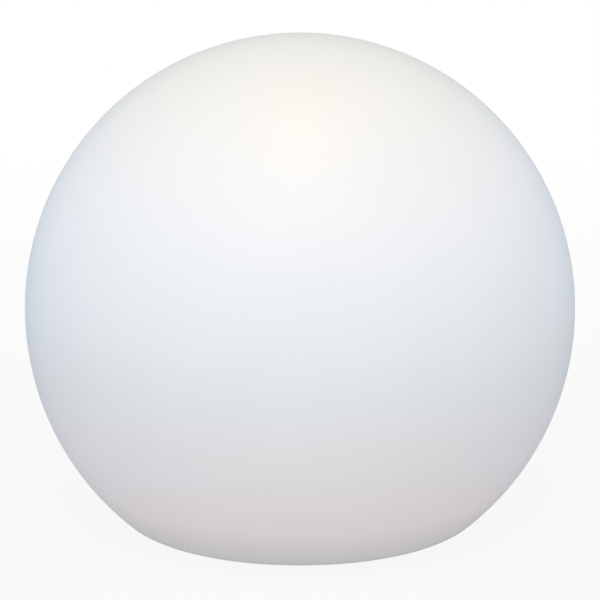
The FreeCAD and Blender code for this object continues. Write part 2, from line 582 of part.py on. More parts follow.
# ---------------------------------------------------------------- the globe and what stays in it
def globe_shell():
    """The rotomoulded globe: a half sphere over a fuller flank that rolls into the flat base."""
    shell = body("globe_shell")
    sketch = shell.newObject("Sketcher::SketchObject", "wall_outline")
    attach(sketch, shell, "XZ_Plane")
    radius, flank, roll = number("globe_radius"), number("flank_radius"), number("base_corner_radius")
    wall, flat = number("shell_wall"), number("flat_radius")
    down, right = FreeCAD.Vector(0, -1, 0), FreeCAD.Vector(1, 0, 0)
    sphere_middle = FreeCAD.Vector(0, number("globe_centre"), 0)
    flank_middle = FreeCAD.Vector(number("flank_centre"), number("globe_centre"), 0)
    roll_middle = FreeCAD.Vector(flat, number("roll_centre"), 0)
    out = (roll_middle - flank_middle).normalize()

    def between(middle, reach, first, second):
        """The point at reach from middle, halfway between two directions."""
        return middle + (first + second).normalize() * reach

    def skin(inset):
        """The half sphere's, the flank's and the roll's arc, inset from the outside, and where they meet."""
        crown = sphere_middle - down * (radius - inset)
        widest = sphere_middle + right * (radius - inset)
        join = roll_middle + out * (roll - inset)
        foot = roll_middle + down * (roll - inset)
        arcs = [Part.Arc(crown, between(sphere_middle, radius - inset, right, -down), widest),
                Part.Arc(widest, between(flank_middle, flank - inset, right, out), join),
                Part.Arc(join, between(roll_middle, roll - inset, out, down), foot)]
        return [sketch.addGeometry(arc, False) for arc in arcs], (crown, widest, join, foot)

    (sphere_out, flank_out, roll_out), points_out = skin(0)
    (sphere_in, flank_in, roll_in), points_in = skin(wall)
    steps = [("recess_radius", "shell_under"), ("recess_radius", "ledge_under"),
             ("opening_radius", "ledge_under"), ("opening_radius", "ledge_top"),
             ("recess_radius + shell_wall", "ledge_top"),
             ("recess_radius + shell_wall", "shell_under + shell_wall")]
    spots = [FreeCAD.Vector(number(across), number(up), 0) for across, up in steps]
    chain = [points_out[-1], *spots, points_in[-1]]
    lines = [sketch.addGeometry(Part.LineSegment(a, b), False) for a, b in zip(chain, chain[1:])]
    closing = sketch.addGeometry(Part.LineSegment(points_in[0], points_out[0]), False)

    def join_at(kind, first, second, point):
        sketch.addConstraint(Sketcher.Constraint(
            kind, first, end_at(sketch, first, point), second, end_at(sketch, second, point)))

    for arcs, points, line in (((sphere_out, flank_out, roll_out), points_out, lines[0]),
                               ((sphere_in, flank_in, roll_in), points_in, lines[-1])):
        for first, second, point in zip(arcs, (*arcs[1:], line), points[1:]):
            join_at("Tangent", first, second, point)
        join_at("Coincident", closing, arcs[0], points[0])
    for first, second, point in zip(lines, lines[1:], spots):
        join_at("Coincident", first, second, point)
    sketch.addConstraint(Sketcher.Constraint("Horizontal", lines[0]))
    sketch.addConstraint(Sketcher.Constraint("Horizontal", sphere_out, 3, flank_out, 3))
    sketch.addConstraint(Sketcher.Constraint("PointOnObject", sphere_out, 3, -2))
    for end in (1, 2):
        sketch.addConstraint(Sketcher.Constraint("PointOnObject", closing, end, -2))
    for outer, inner in ((sphere_out, sphere_in), (flank_out, flank_in), (roll_out, roll_in)):
        sketch.addConstraint(Sketcher.Constraint("Coincident", outer, 3, inner, 3))
    for kind, ends, text in (("DistanceY", (-1, 1, sphere_out, 3), "globe_centre"),
                             ("DistanceX", (-1, 1, roll_out, 3), "flat_radius"),
                             ("Radius", (sphere_out,), "globe_radius"),
                             ("Radius", (roll_out,), "base_corner_radius"),
                             ("Radius", (sphere_in,), "globe_radius - shell_wall")):
        index = sketch.addConstraint(Sketcher.Constraint(kind, *ends, number(text)))
        bind(sketch, f"Constraints[{index}]", text)
    for line, (across, up) in zip(lines[1:], steps):
        pin_point(sketch, line, 1, across, up)
    spin(shell, "wall", sketch)

    boss = disc(shell, "insert_boss", "boss_diameter / 2", "ledge_top - shell_wall / 2",
                "ledge_top + boss_height", x="ring_screw_place")
    around(shell, boss, "ring_screw_count")
    well = disc(shell, "insert_well", "insert_diameter / 2", "ledge_under", "ledge_under + insert_length",
                x="ring_screw_place", cut=True)
    around(shell, well, "ring_screw_count")
    backing = disc(shell, "pad_backing", "foot_diameter / 2 + shell_wall", "shell_under + shell_wall / 2",
                   "shell_under + shell_wall + foot_sink", **at_angle("foot_place", "foot_angle"))
    around(shell, backing, "foot_count")
    dimple = disc(shell, "pad_dimple", "foot_diameter / 2", "shell_under", "shell_under + foot_sink",
                  **at_angle("foot_place", "foot_angle"), cut=True)
    around(shell, dimple, "foot_count")
    rolled(shell, "mouth_roll", "recess_edge_radius",
           lambda edge: is_circle_at(edge, number("recess_radius"), number("shell_under")))


def foot_pads():
    """Four rubber pads stuck in dimples of the base flat. The light rests on their faces."""
    pads = body("foot_pads")
    pad = disc(pads, "pad", "foot_diameter / 2", "shell_under - foot_rise", "shell_under + foot_sink",
               **at_angle("foot_place", "foot_angle"))
    around(pads, pad, "foot_count")


def threaded_inserts():
    """Brass inserts that the moulding flows round, one for each ring screw."""
    inserts = body("threaded_inserts")
    insert = ring(inserts, "insert", "large_thread / 2 + thread_gap", "insert_diameter / 2", "ledge_under",
                  "ledge_under + insert_length", x="ring_screw_place")
    around(inserts, insert, "ring_screw_count")


def ring_gasket():
    """Flat gasket between the bayonet ring and the ledge, with a hole for each screw."""
    gasket = body("ring_gasket")
    ring(gasket, "sheet", "opening_radius", "ring_radius", "ring_top", "ledge_under")
    hole = disc(gasket, "hole", "large_thread / 2 + thread_gap", "ring_top", "ledge_under",
                x="ring_screw_place", cut=True)
    around(gasket, hole, "ring_screw_count")


def bayonet_ring():
    """Ring screwed under the ledge, with a collar that the main seal runs in, shelves and end stops."""
    made = body("bayonet_ring")
    turned(made, "body_of_ring", [
        ("ring_bore", "ring_under"), ("ring_radius", "ring_under"), ("ring_radius", "ring_top"),
        ("collar_outer", "ring_top"), ("collar_outer", "collar_top"), ("collar_inner", "collar_top"),
        ("collar_inner", "web_under"), ("ring_bore", "web_under")])
    shelf = ring(made, "shelf", "collar_inner", "ring_bore + web_thickness", "ring_under", "shelf_top",
                 sweep="shelf_angle")
    around(made, shelf, "bayonet_count")
    stop = ring(made, "stop", "collar_inner", "ring_bore + web_thickness", "ring_under",
                "web_under + web_thickness / 2", sweep="stop_angle", turn="stop_middle")
    around(made, stop, "bayonet_count")
    for name, radius, top in (("screw_hole", "large_thread / 2 + thread_gap", "ring_top"),
                              ("head_sink", "large_head / 2 + head_clearance", "head_seat")):
        around(made, disc(made, name, radius, "ring_under", top, x="ring_screw_place", cut=True),
               "ring_screw_count")
    rolled(made, "rim_roll", "ring_edge_radius",
           lambda edge: is_circle_at(edge, number("ring_radius"), number("ring_under")))


def ring_screws():
    """Screws that hold the bayonet ring, their heads sunk in it from below."""
    screws = body("ring_screws")
    pan_head_screws(screws, "large", "head_seat", "ledge_under + insert_length - head_clearance",
                    x="ring_screw_place", count="ring_screw_count")


# ---------------------------------------------------------------- the light module's case
CLAMP_SIDES = ("clamp_screw_pitch / 2", "-clamp_screw_pitch / 2")


def module_housing():
    """Round case open at the bottom, with bayonet lugs, a seal bead and posts for every screw."""
    case = body("module_housing")
    turned(case, "wall_and_ceiling", [
        ("housing_bore", "housing_under"), ("housing_radius", "housing_under"),
        ("housing_radius", "housing_top"), ("0", "housing_top"), ("0", "ceiling_under"),
        ("housing_bore", "ceiling_under")])
    ring(case, "seal_bead", "housing_radius - housing_wall / 2", "bead_radius",
         "seal_middle - bead_height / 2", "seal_middle + bead_height / 2")
    ring(case, "seal_groove", "seal_outer - seal_section", "bead_radius + bead_gap",
         "seal_middle - seal_section / 2", "seal_middle + seal_section / 2", cut=True)
    lug = ring(case, "lug", "housing_radius - housing_wall / 2", "lug_radius", "lug_under", "lug_top",
               sweep="lug_angle")
    around(case, lug, "bayonet_count")
    post = disc(case, "cover_post", "post_diameter / 2", "cover_top", "cover_top + post_length",
                x="post_place")
    around(case, post, "cover_screw_count")
    boss = disc(case, "board_post", "post_diameter / 2", "board_top", "board_top + board_boss_length",
                **at_angle("post_place", "board_screw_angle"))
    around(case, boss, "board_screw_count")
    ear = disc(case, "dome_post", "dome_screw_inset - dome_flange_inset / 2",
               "ceiling_under - dome_post_length", "ceiling_under",
               **at_angle("dome_screw_place", "dome_screw_angle"))
    around(case, ear, "dome_screw_count")
    for side in CLAMP_SIDES:
        front_and_back(case, disc(case, "clamp_post", "post_diameter / 2", "clamp_foot_top", "ceiling_under",
                                  x=side, y="clamp_screw_place"))

    pilot = "small_thread / 2 + thread_gap"
    hole = disc(case, "cover_pilot", pilot, "cover_top", "cover_top + screw_bite + thread_gap",
                x="post_place", cut=True)
    around(case, hole, "cover_screw_count")
    hole = disc(case, "board_pilot", pilot, "board_top", "board_top + screw_bite + thread_gap",
                **at_angle("post_place", "board_screw_angle"), cut=True)
    around(case, hole, "board_screw_count")
    hole = disc(case, "dome_pilot", pilot, "housing_top - screw_bite", "housing_top",
                **at_angle("dome_screw_place", "dome_screw_angle"), cut=True)
    around(case, hole, "dome_screw_count")
    hole = disc(case, "light_board_pilot", pilot, "ceiling_under + light_screw_tail", "housing_top",
                **at_angle("light_screw_circle / 2", "light_screw_angle"), cut=True)
    around(case, hole, "light_screw_count")
    for side in CLAMP_SIDES:
        front_and_back(case, disc(case, "clamp_pilot", pilot, "clamp_foot_top",
                                  "clamp_foot_top + clamp_screw_bite + thread_gap",
                                  x=side, y="clamp_screw_place", cut=True))
    disc(case, "grommet_hole", "grommet_diameter / 2", "ceiling_under", "housing_top", x="lead_place",
         cut=True)


def module_seal():
    """O-ring in the housing's bead, which keeps rain out of the globe."""
    cord_ring(body("module_seal"), "cord", "seal_outer - seal_section / 2", "seal_middle", "seal_section")


def base_cover():
    """Bottom cover: a finger dish with a grip bar, the button's guide tube and the charging door's pocket."""
    cover = body("base_cover")
    disc(cover, "plate", "cover_radius", "cover_under", "cover_top")
    disc(cover, "dish_boss", "dish_outer", "cover_under", "dish_top")
    disc(cover, "dish", "dish_diameter / 2", "cover_under", "dish_roof", cut=True)
    block(cover, "grip_bar", "-dish_diameter / 2 - dish_wall / 2", "dish_diameter / 2 + dish_wall / 2",
          "-grip_width / 2", "grip_width / 2", "cover_under", "dish_roof + dish_wall / 2")
    disc(cover, "guide_tube", "guide_outer", "cover_under", "guide_top", y="button_place")
    disc(cover, "guide_bore", "guide_bore", "cover_under", "guide_top", y="button_place", cut=True)
    block(cover, "well", "-door_length / 2 - door_gap - well_wall", "door_length / 2 + door_gap + well_wall",
          "-door_far - door_gap - well_wall", "-door_near + door_gap + well_wall", "cover_under", "well_top")
    block(cover, "pocket", "-door_length / 2 - door_gap", "door_length / 2 + door_gap",
          "-door_far - door_gap", "-door_near + door_gap", "cover_under", "pocket_roof", cut=True)
    block(cover, "trough", "-door_length / 2 - door_gap", "door_length / 2 + door_gap",
          "-door_far - door_gap", "-trough_near", "cover_under", "trough_roof", cut=True)
    disc(cover, "port", "socket_nose / 2 + port_gap", "cover_under", "well_top", y="-port_place", cut=True)
    disc(cover, "thumb_notch", "notch_diameter / 2", "cover_under", "cover_under + notch_depth",
         y="-door_near", cut=True)
    seat = cover.newObject("Sketcher::SketchObject", "pin_seat_outline")
    attach(seat, cover, "YZ_Plane")
    circle(seat, "-hinge_place", "hinge_height", "pin_diameter / 2")
    seats = cover.newObject("PartDesign::Pocket", "pin_seats")
    seats.Profile = seat
    seats.Midplane = True
    bind(seats, "Length", "door_length + 2 * door_gap + 2 * pin_bite")
    cover.Tip = seats
    disc(cover, "lens_hole", "lens_diameter / 2", "cover_under", "cover_top", x="lens_side",
         y="button_place", cut=True)
    disc(cover, "vent_hole", "vent_thread / 2", "cover_under", "cover_top",
         **at_angle("vent_place", "vent_angle"), cut=True)
    for name, radius, top in (("screw_hole", "small_thread / 2 + thread_gap", "cover_top"),
                              ("head_sink", "small_head / 2 + head_clearance", "cover_head_seat")):
        around(cover, disc(cover, name, radius, "cover_under", top, x="post_place", cut=True),
               "cover_screw_count")
    rolled(cover, "rim_roll", "cover_edge_radius",
           lambda edge: is_circle_at(edge, number("cover_radius"), number("cover_under")))

    half, under = number("grip_width / 2"), number("cover_under")

    def is_mouth_edge(edge):
        ends = [vertex.Point for vertex in edge.Vertexes]
        along = isinstance(edge.Curve, Part.Line) and edge.Length > number("grip_width")
        on_bar = along and all(abs(abs(p.y) - half) < 0.01 and abs(p.z - under) < 0.01 for p in ends)
        return on_bar or is_circle_at(edge, number("dish_diameter / 2"), under)

    rolled(cover, "mouth_roll", "grip_edge_radius", is_mouth_edge)


def cover_gasket():
    """Flat gasket on the housing's rim."""
    ring(body("cover_gasket"), "sheet", "housing_bore + post_sink", "housing_radius", "cover_top",
         "housing_under")


def cover_screws():
    """Screws that close the bottom cover."""
    screws = body("cover_screws")
    pan_head_screws(screws, "small", "cover_head_seat", "cover_top + screw_bite",
                    x="post_place", count="cover_screw_count")


# ---------------------------------------------------------------- push button
def power_button():
    """Push button with a groove for its seal and a keeper flange above the guide tube."""
    button = body("power_button")
    sketch = button.newObject("Sketcher::SketchObject", "button_outline")
    attach(sketch, button, "XZ_Plane")
    bottom = "button_seal_middle - button_seal_section / 2"
    top = "button_seal_middle + button_seal_section / 2"
    floor = "button_seal_outer - button_seal_section"
    side, keeper = "button_diameter / 2", "button_diameter / 2 + keeper_reach"
    polygon(sketch, [
        ("0", "button_under"), (side, "button_under"), (side, bottom), (floor, bottom), (floor, top),
        (side, top), (side, "keeper_under"), (keeper, "keeper_under"), (keeper, "keeper_top"),
        ("stem_diameter / 2", "keeper_top"), ("stem_diameter / 2", "plunger_under"), ("0", "plunger_under")])
    spin(button, "button_body", sketch)
    rolled(button, "crown_roll", "button_crown_radius",
           lambda edge: is_circle_at(edge, number("button_diameter / 2"), number("button_under")))
    shift(button, y="button_place")


def button_seal():
    """O-ring in the button's groove."""
    seal = body("button_seal")
    cord_ring(seal, "cord", "button_seal_outer - button_seal_section / 2", "button_seal_middle",
              "button_seal_section")
    shift(seal, y="button_place")


def switch_plunger():
    """Plunger of the switch, which the button's stem pushes."""
    disc(body("switch_plunger"), "plunger", "plunger_diameter / 2", "plunger_under",
         "switch_under + plunger_sink", y="button_place")


def push_switch():
    """Switch body under the board, with a well for its plunger."""
    switch = body("push_switch")
    block(switch, "case", "-switch_width / 2", "switch_width / 2", "button_place - switch_width / 2",
          "button_place + switch_width / 2", "switch_under", "board_under")
    disc(switch, "well", "plunger_diameter / 2 + pin_gap", "switch_under", "switch_under + plunger_well",
         y="button_place", cut=True)


# ---------------------------------------------------------------- charging door and socket
def charge_door():
    """Door over the charging port: a plate that ends in the hinge barrel."""
    door = body("charge_door")
    sketch = door.newObject("Sketcher::SketchObject", "barrel_outline")
    attach(sketch, door, "YZ_Plane")
    circle(sketch, "-hinge_place", "hinge_height", "barrel_diameter / 2")
    barrel = door.newObject("PartDesign::Pad", "barrel")
    barrel.Profile = sketch
    barrel.Midplane = True
    bind(barrel, "Length", "door_length")
    door.Tip = barrel
    block(door, "plate", "-door_length / 2", "door_length / 2", "-hinge_place", "-door_near",
          "cover_under", "cover_under + door_thickness")
    bore = door.newObject("Sketcher::SketchObject", "bore_outline")
    attach(bore, door, "YZ_Plane")
    circle(bore, "-hinge_place", "hinge_height", "pin_diameter / 2 + pin_gap")
    hole = door.newObject("PartDesign::Pocket", "bore")
    hole.Profile = bore
    hole.Midplane = True
    bind(hole, "Length", "door_length + 2 * door_gap")
    door.Tip = hole
    side, near = number("door_length / 2"), -number("door_near")

    def is_free_corner(edge):
        middle = edge.CenterOfMass
        upright = isinstance(edge.Curve, Part.Line) and abs(edge.Curve.Direction.z) > 0.99
        return upright and abs(abs(middle.x) - side) < 0.01 and abs(middle.y - near) < 0.01

    rolled(door, "corner_roll", "door_corner_radius", is_free_corner)
    under, hinge = number("cover_under"), -number("hinge_place")

    def is_lower_edge(edge):
        level = all(abs(vertex.Point.z - under) < 0.01 for vertex in edge.Vertexes)
        return level and edge.CenterOfMass.y > hinge + 0.1

    rolled(door, "face_roll", "door_edge_radius", is_lower_edge)


def door_seal():
    """Rubber ring on the door that meets the pocket's roof round the port."""
    seal = body("door_seal")
    inner = "socket_nose / 2 + port_gap"
    ring(seal, "sheet", inner, f"{inner} + door_seal_width", "cover_under + door_thickness",
         "cover_under + door_thickness + door_seal_thickness")
    shift(seal, y="-port_place")


def hinge_pin():
    """Pin that the door turns on, held at both ends in the well's wall."""
    pin = body("hinge_pin")
    sketch = pin.newObject("Sketcher::SketchObject", "pin_outline")
    attach(sketch, pin, "YZ_Plane")
    circle(sketch, "-hinge_place", "hinge_height", "pin_diameter / 2")
    rod = pin.newObject("PartDesign::Pad", "rod")
    rod.Profile = sketch
    rod.Midplane = True
    bind(rod, "Length", "door_length + 2 * door_gap + 2 * pin_bite")
    pin.Tip = rod


def charge_socket():
    """Charging socket under the board, its nose in the port."""
    socket = body("charge_socket")
    bore, nose, case = "socket_bore / 2", "socket_nose / 2", "socket_diameter / 2"
    bore_end = "nose_under + socket_depth"
    turned(socket, "case", [
        (bore, "nose_under"), (nose, "nose_under"), (nose, "socket_under"), (case, "socket_under"),
        (case, "board_under"), ("0", "board_under"), ("0", bore_end), (bore, bore_end)])
    shift(socket, y="-port_place")


def socket_contact():
    """Centre contact of the socket."""
    contact = body("socket_contact")
    base, tip = "nose_under + socket_depth", "nose_under + socket_depth - socket_pin_length"
    turned(contact, "contact", [
        ("0", tip), ("socket_pin / 4", tip), ("socket_pin / 2", f"{tip} + socket_pin / 4"),
        ("socket_pin / 2", base), ("0", base)])
    shift(contact, y="-port_place")


def socket_gasket():
    """Gasket between the socket and the well."""
    gasket = body("socket_gasket")
    ring(gasket, "sheet", "socket_nose / 2 + port_gap", "socket_diameter / 2", "well_top", "socket_under")
    shift(gasket, y="-port_place")


# ---------------------------------------------------------------- control board
def control_board():
    """Round board that carries the switch, the socket and the charging and driving parts."""
    board = body("control_board")
    disc(board, "sheet", "board_radius", "board_under", "board_top")
    hole = disc(board, "hole", "small_thread / 2 + thread_gap", "board_under", "board_top",
                **at_angle("post_place", "board_screw_angle"), cut=True)
    around(board, hole, "board_screw_count")


def board_screws():
    """Screws that hold the control board from below."""
    screws = body("board_screws")
    pan_head_screws(screws, "small", "board_under", "board_top + screw_bite",
                    x="post_place", count="board_screw_count")
    swing(screws, "board_screw_angle")


def control_chips():
    """Two chips on the control board: the controller and the charger."""
    chips = body("control_chips")
    for name, side in (("controller", "-chip_side"), ("charger", "chip_side")):
        block(chips, name, f"{side} - chip_width / 2", f"{side} + chip_width / 2",
              "chip_row - chip_width / 2", "chip_row + chip_width / 2",
              "board_top", "board_top + chip_height")


def choke_coil():
    """Choke of the charging circuit: a bobbin with flanges and its winding."""
    choke = body("choke_coil")
    flange, core = "choke_diameter / 2", "choke_diameter / 2 - choke_flange"
    turned(choke, "drum", [
        ("0", "board_top"), (flange, "board_top"), (flange, "board_top + choke_flange"),
        (core, "board_top + choke_flange"), (core, "board_top + choke_height - choke_flange"),
        (flange, "board_top + choke_height - choke_flange"), (flange, "board_top + choke_height"),
        ("0", "board_top + choke_height")])
    shift(choke, x="-choke_side", y="-power_row")


def smoothing_capacitors():
    """Two upright capacitors."""
    pair = body("smoothing_capacitors")
    for name, side in (("first", "choke_side"), ("second", "choke_side - capacitor_pitch")):
        disc(pair, name, "capacitor_diameter / 2", "board_top", "board_top + capacitor_height",
             x=side, y="-power_row")


def lead_headers():
    """Two plugged headers: the cells' leads on one side and the light board's on the other."""
    headers = body("lead_headers")
    for name, side in (("cell_header", "-lead_place"), ("light_header", "lead_place")):
        block(headers, name, f"{side} - header_width / 2", f"{side} + header_width / 2",
              "-header_length / 2", "header_length / 2", "board_top", "header_top")


def charge_lamp():
    """Small lamp under the board above the light pipe."""
    block(body("charge_lamp"), "lamp", "lens_side - lamp_width / 2", "lens_side + lamp_width / 2",
          "button_place - lamp_width / 2", "button_place + lamp_width / 2", "board_under - lamp_height",
          "board_under")


def indicator_lens():
    """Clear light pipe that shows the charge lamp beside the button."""
    lens = body("indicator_lens")
    turned(lens, "pipe", [
        ("0", "cover_under"), ("lens_diameter / 2", "cover_under"), ("lens_diameter / 2", "cover_top"),
        ("lens_flange / 2", "cover_top"), ("lens_flange / 2", "cover_top + lens_flange_height"),
        ("lens_diameter / 2", "cover_top + lens_flange_height"),
        ("lens_diameter / 2", "board_under - lamp_height - lamp_gap"),
        ("0", "board_under - lamp_height - lamp_gap")])
    shift(lens, x="lens_side", y="button_place")


# ---------------------------------------------------------------- vent
def vent_plug():
    """Breather plug through the cover, which lets the globe's air in and out but no water."""
    plug = body("vent_plug")
    airway, thread, head = "vent_bore / 2", "vent_thread / 2", "vent_head / 2"
    face, tail = "cover_under - vent_head_height", "cover_top + vent_tail"
    turned(plug, "plug", [
        (airway, face), (head, face), (head, "cover_under"), (thread, "cover_under"), (thread, tail),
        (airway, tail)])
    shift(plug, **at_angle("vent_place", "vent_angle"))


def vent_nut():
    """Hexagon nut on the breather plug."""
    nut = body("vent_nut")
    sketch = nut.newObject("Sketcher::SketchObject", "hexagon")
    attach(sketch, nut, "XY_Plane", z="cover_top")
    tall, wide = "vent_nut / 2", "vent_nut / 2 / cos(30)"
    polygon(sketch, [(wide, "0"), (f"{wide} / 2", tall), (f"-{wide} / 2", tall), (f"-{wide}", "0"),
                     (f"-{wide} / 2", f"-{tall}"), (f"{wide} / 2", f"-{tall}")])
    pad = nut.newObject("PartDesign::Pad", "nut")
    pad.Profile = sketch
    bind(pad, "Length", "vent_nut_height")
    nut.Tip = pad
    disc(nut, "bore", "vent_thread / 2 + thread_gap", "cover_top", "cover_top + vent_nut_height", cut=True)
    shift(nut, **at_angle("vent_place", "vent_angle"))


def vent_membrane():
    """Disc of breathing film in the plug's airway."""
    film = body("vent_membrane")
    disc(film, "film", "vent_bore / 2", "cover_top", "cover_top + vent_disc_thickness")
    shift(film, **at_angle("vent_place", "vent_angle"))


# ---------------------------------------------------------------- cells
CELL_ROWS = ("-cell_pitch", "0", "cell_pitch")


def battery_cells():
    """Three cells lying along X under the ceiling."""
    cells = body("battery_cells")
    for row, place in enumerate(CELL_ROWS, start=1):
        for name, radius, low, high in (
                ("can", "cell_diameter / 2", "-cell_length / 2", "cell_length / 2 - cell_nub_height"),
                ("nub", "cell_nub_diameter / 2", "cell_length / 2 - cell_nub_height", "cell_length / 2")):
            sketch = cells.newObject("Sketcher::SketchObject", f"{name}_outline_{row}")
            attach(sketch, cells, "YZ_Plane", z=low)
            circle(sketch, place, "cell_middle", radius)
            pad = cells.newObject("PartDesign::Pad", f"{name}_{row}")
            pad.Profile = sketch
            bind(pad, "Length", f"({high}) - ({low})")
            cells.Tip = pad


def cell_holders():
    """End holders with a hole for each cell."""
    holders = body("cell_holders")
    far = "cell_length / 2 - holder_inset"
    side = "cell_side + holder_wall"
    for name, low, high in (("near_holder", f"-({far})", f"-({far}) + holder_thickness"),
                            ("far_holder", f"{far} - holder_thickness", far)):
        block(holders, name, low, high, f"-({side})", side, "cell_under - holder_wall", "ceiling_under")
    for row, place in enumerate(CELL_ROWS, start=1):
        sketch = holders.newObject("Sketcher::SketchObject", f"hole_outline_{row}")
        attach(sketch, holders, "YZ_Plane")
        circle(sketch, place, "cell_middle", "cell_diameter / 2 + holder_gap")
        hole = holders.newObject("PartDesign::Pocket", f"hole_{row}")
        hole.Profile = sketch
        hole.Midplane = True
        bind(hole, "Length", "cell_length")
        holders.Tip = hole


def nickel_strips():
    """Strips welded across the cells' ends."""
    strips = body("nickel_strips")
    for name, low, high in (("near_strip", "-cell_length / 2 - strip_thickness", "-cell_length / 2"),
                            ("far_strip", "cell_length / 2", "cell_length / 2 + strip_thickness")):
        block(strips, name, low, high, "-cell_pitch - strip_width / 2", "cell_pitch + strip_width / 2",
              "cell_middle - strip_width / 2", "cell_middle + strip_width / 2")


def battery_clamp():
    """Bracket under the cells, screwed to four posts of the ceiling."""
    clamp = body("battery_clamp")
    sketch = clamp.newObject("Sketcher::SketchObject", "bracket_outline")
    attach(sketch, clamp, "YZ_Plane")
    leg, out, end = "clamp_leg", "clamp_leg + clamp_thickness", "clamp_foot_end"
    under, shelf = "clamp_top - clamp_thickness", "clamp_foot_top - clamp_thickness"
    right = [(out, under), (out, shelf), (end, shelf), (end, "clamp_foot_top"), (leg, "clamp_foot_top"),
             (leg, "clamp_top")]
    left = [(f"-({across})", up) for across, up in reversed(right)]
    polygon(sketch, right + left)
    strap = clamp.newObject("PartDesign::Pad", "strap")
    strap.Profile = sketch
    strap.Midplane = True
    bind(strap, "Length", "clamp_width")
    clamp.Tip = strap
    for side in CLAMP_SIDES:
        front_and_back(clamp, disc(clamp, "hole", "small_thread / 2 + thread_gap", shelf, "clamp_foot_top",
                                   x=side, y="clamp_screw_place", cut=True))


def clamp_screws():
    """Screws of the battery clamp, driven from below."""
    screws = body("clamp_screws")
    for side in CLAMP_SIDES:
        pan_head_screws(screws, "small", "clamp_foot_top - clamp_thickness",
                        "clamp_foot_top + clamp_screw_bite", x=side, y="clamp_screw_place")


# ---------------------------------------------------------------- light board, dome and leads
def heat_spreader():
    """Aluminium plate on the ceiling that takes the light board's heat."""
    plate = body("heat_spreader")
    disc(plate, "sheet", "spreader_radius", "housing_top", "spreader_top")
    light_board_holes(plate, "housing_top", "spreader_top")


def heat_pad():
    """Soft pad between the spreader and the light board."""
    pad = body("heat_pad")
    disc(pad, "sheet", "light_board_radius", "spreader_top", "light_board_under")
    light_board_holes(pad, "spreader_top", "light_board_under")


def light_board():
    """Aluminium-backed board that carries the emitters."""
    board = body("light_board")
    disc(board, "sheet", "light_board_radius", "light_board_under", "light_board_top")
    light_board_holes(board, "light_board_under", "light_board_top")


def light_board_holes(owner, low, high):
    """The leads' hole and the three screw holes, alike in every layer of the stack."""
    disc(owner, "lead_hole", "lead_hole / 2", low, high, x="lead_place", cut=True)
    hole = disc(owner, "screw_hole", "small_thread / 2 + thread_gap", low, high,
                **at_angle("light_screw_circle / 2", "light_screw_angle"), cut=True)
    around(owner, hole, "light_screw_count")


def light_board_screws():
    """Short screws through the stack into the ceiling."""
    screws = body("light_board_screws")
    pan_head_screws(screws, "small", "light_board_top", "ceiling_under + light_screw_tail + thread_gap",
                    x="light_screw_circle / 2", count="light_screw_count", turn_over=True)
    swing(screws, "light_screw_angle")


def emitter_ring(node, circle_size, count):
    """A ring of square emitters, turned half a step so that none stands over the leads' hole."""
    emitters = body(node)
    middle = f"{circle_size} / 2"
    one = block(emitters, "emitter", f"{middle} - emitter_width / 2", f"{middle} + emitter_width / 2",
                "-emitter_width / 2", "emitter_width / 2", "light_board_top",
                "light_board_top + emitter_height")
    around(emitters, one, count)
    swing(emitters, f"180 / {count}")


def remote_receiver():
    """Receiver for the remote control, in the middle of the light board."""
    receiver = body("remote_receiver")
    half, case_top = "receiver_width / 2", "light_board_top + receiver_height"
    block(receiver, "case", f"-{half}", half, f"-{half}", half, "light_board_top", case_top)
    disc(receiver, "eye", "receiver_eye / 2", f"{case_top} - receiver_eye_height",
         f"{case_top} + receiver_eye_height")


def board_terminal():
    """Terminal on the light board that takes the leads."""
    block(body("board_terminal"), "case", "terminal_end - terminal_length", "terminal_end",
          "-terminal_width / 2", "terminal_width / 2", "light_board_top", "light_board_top + terminal_height")


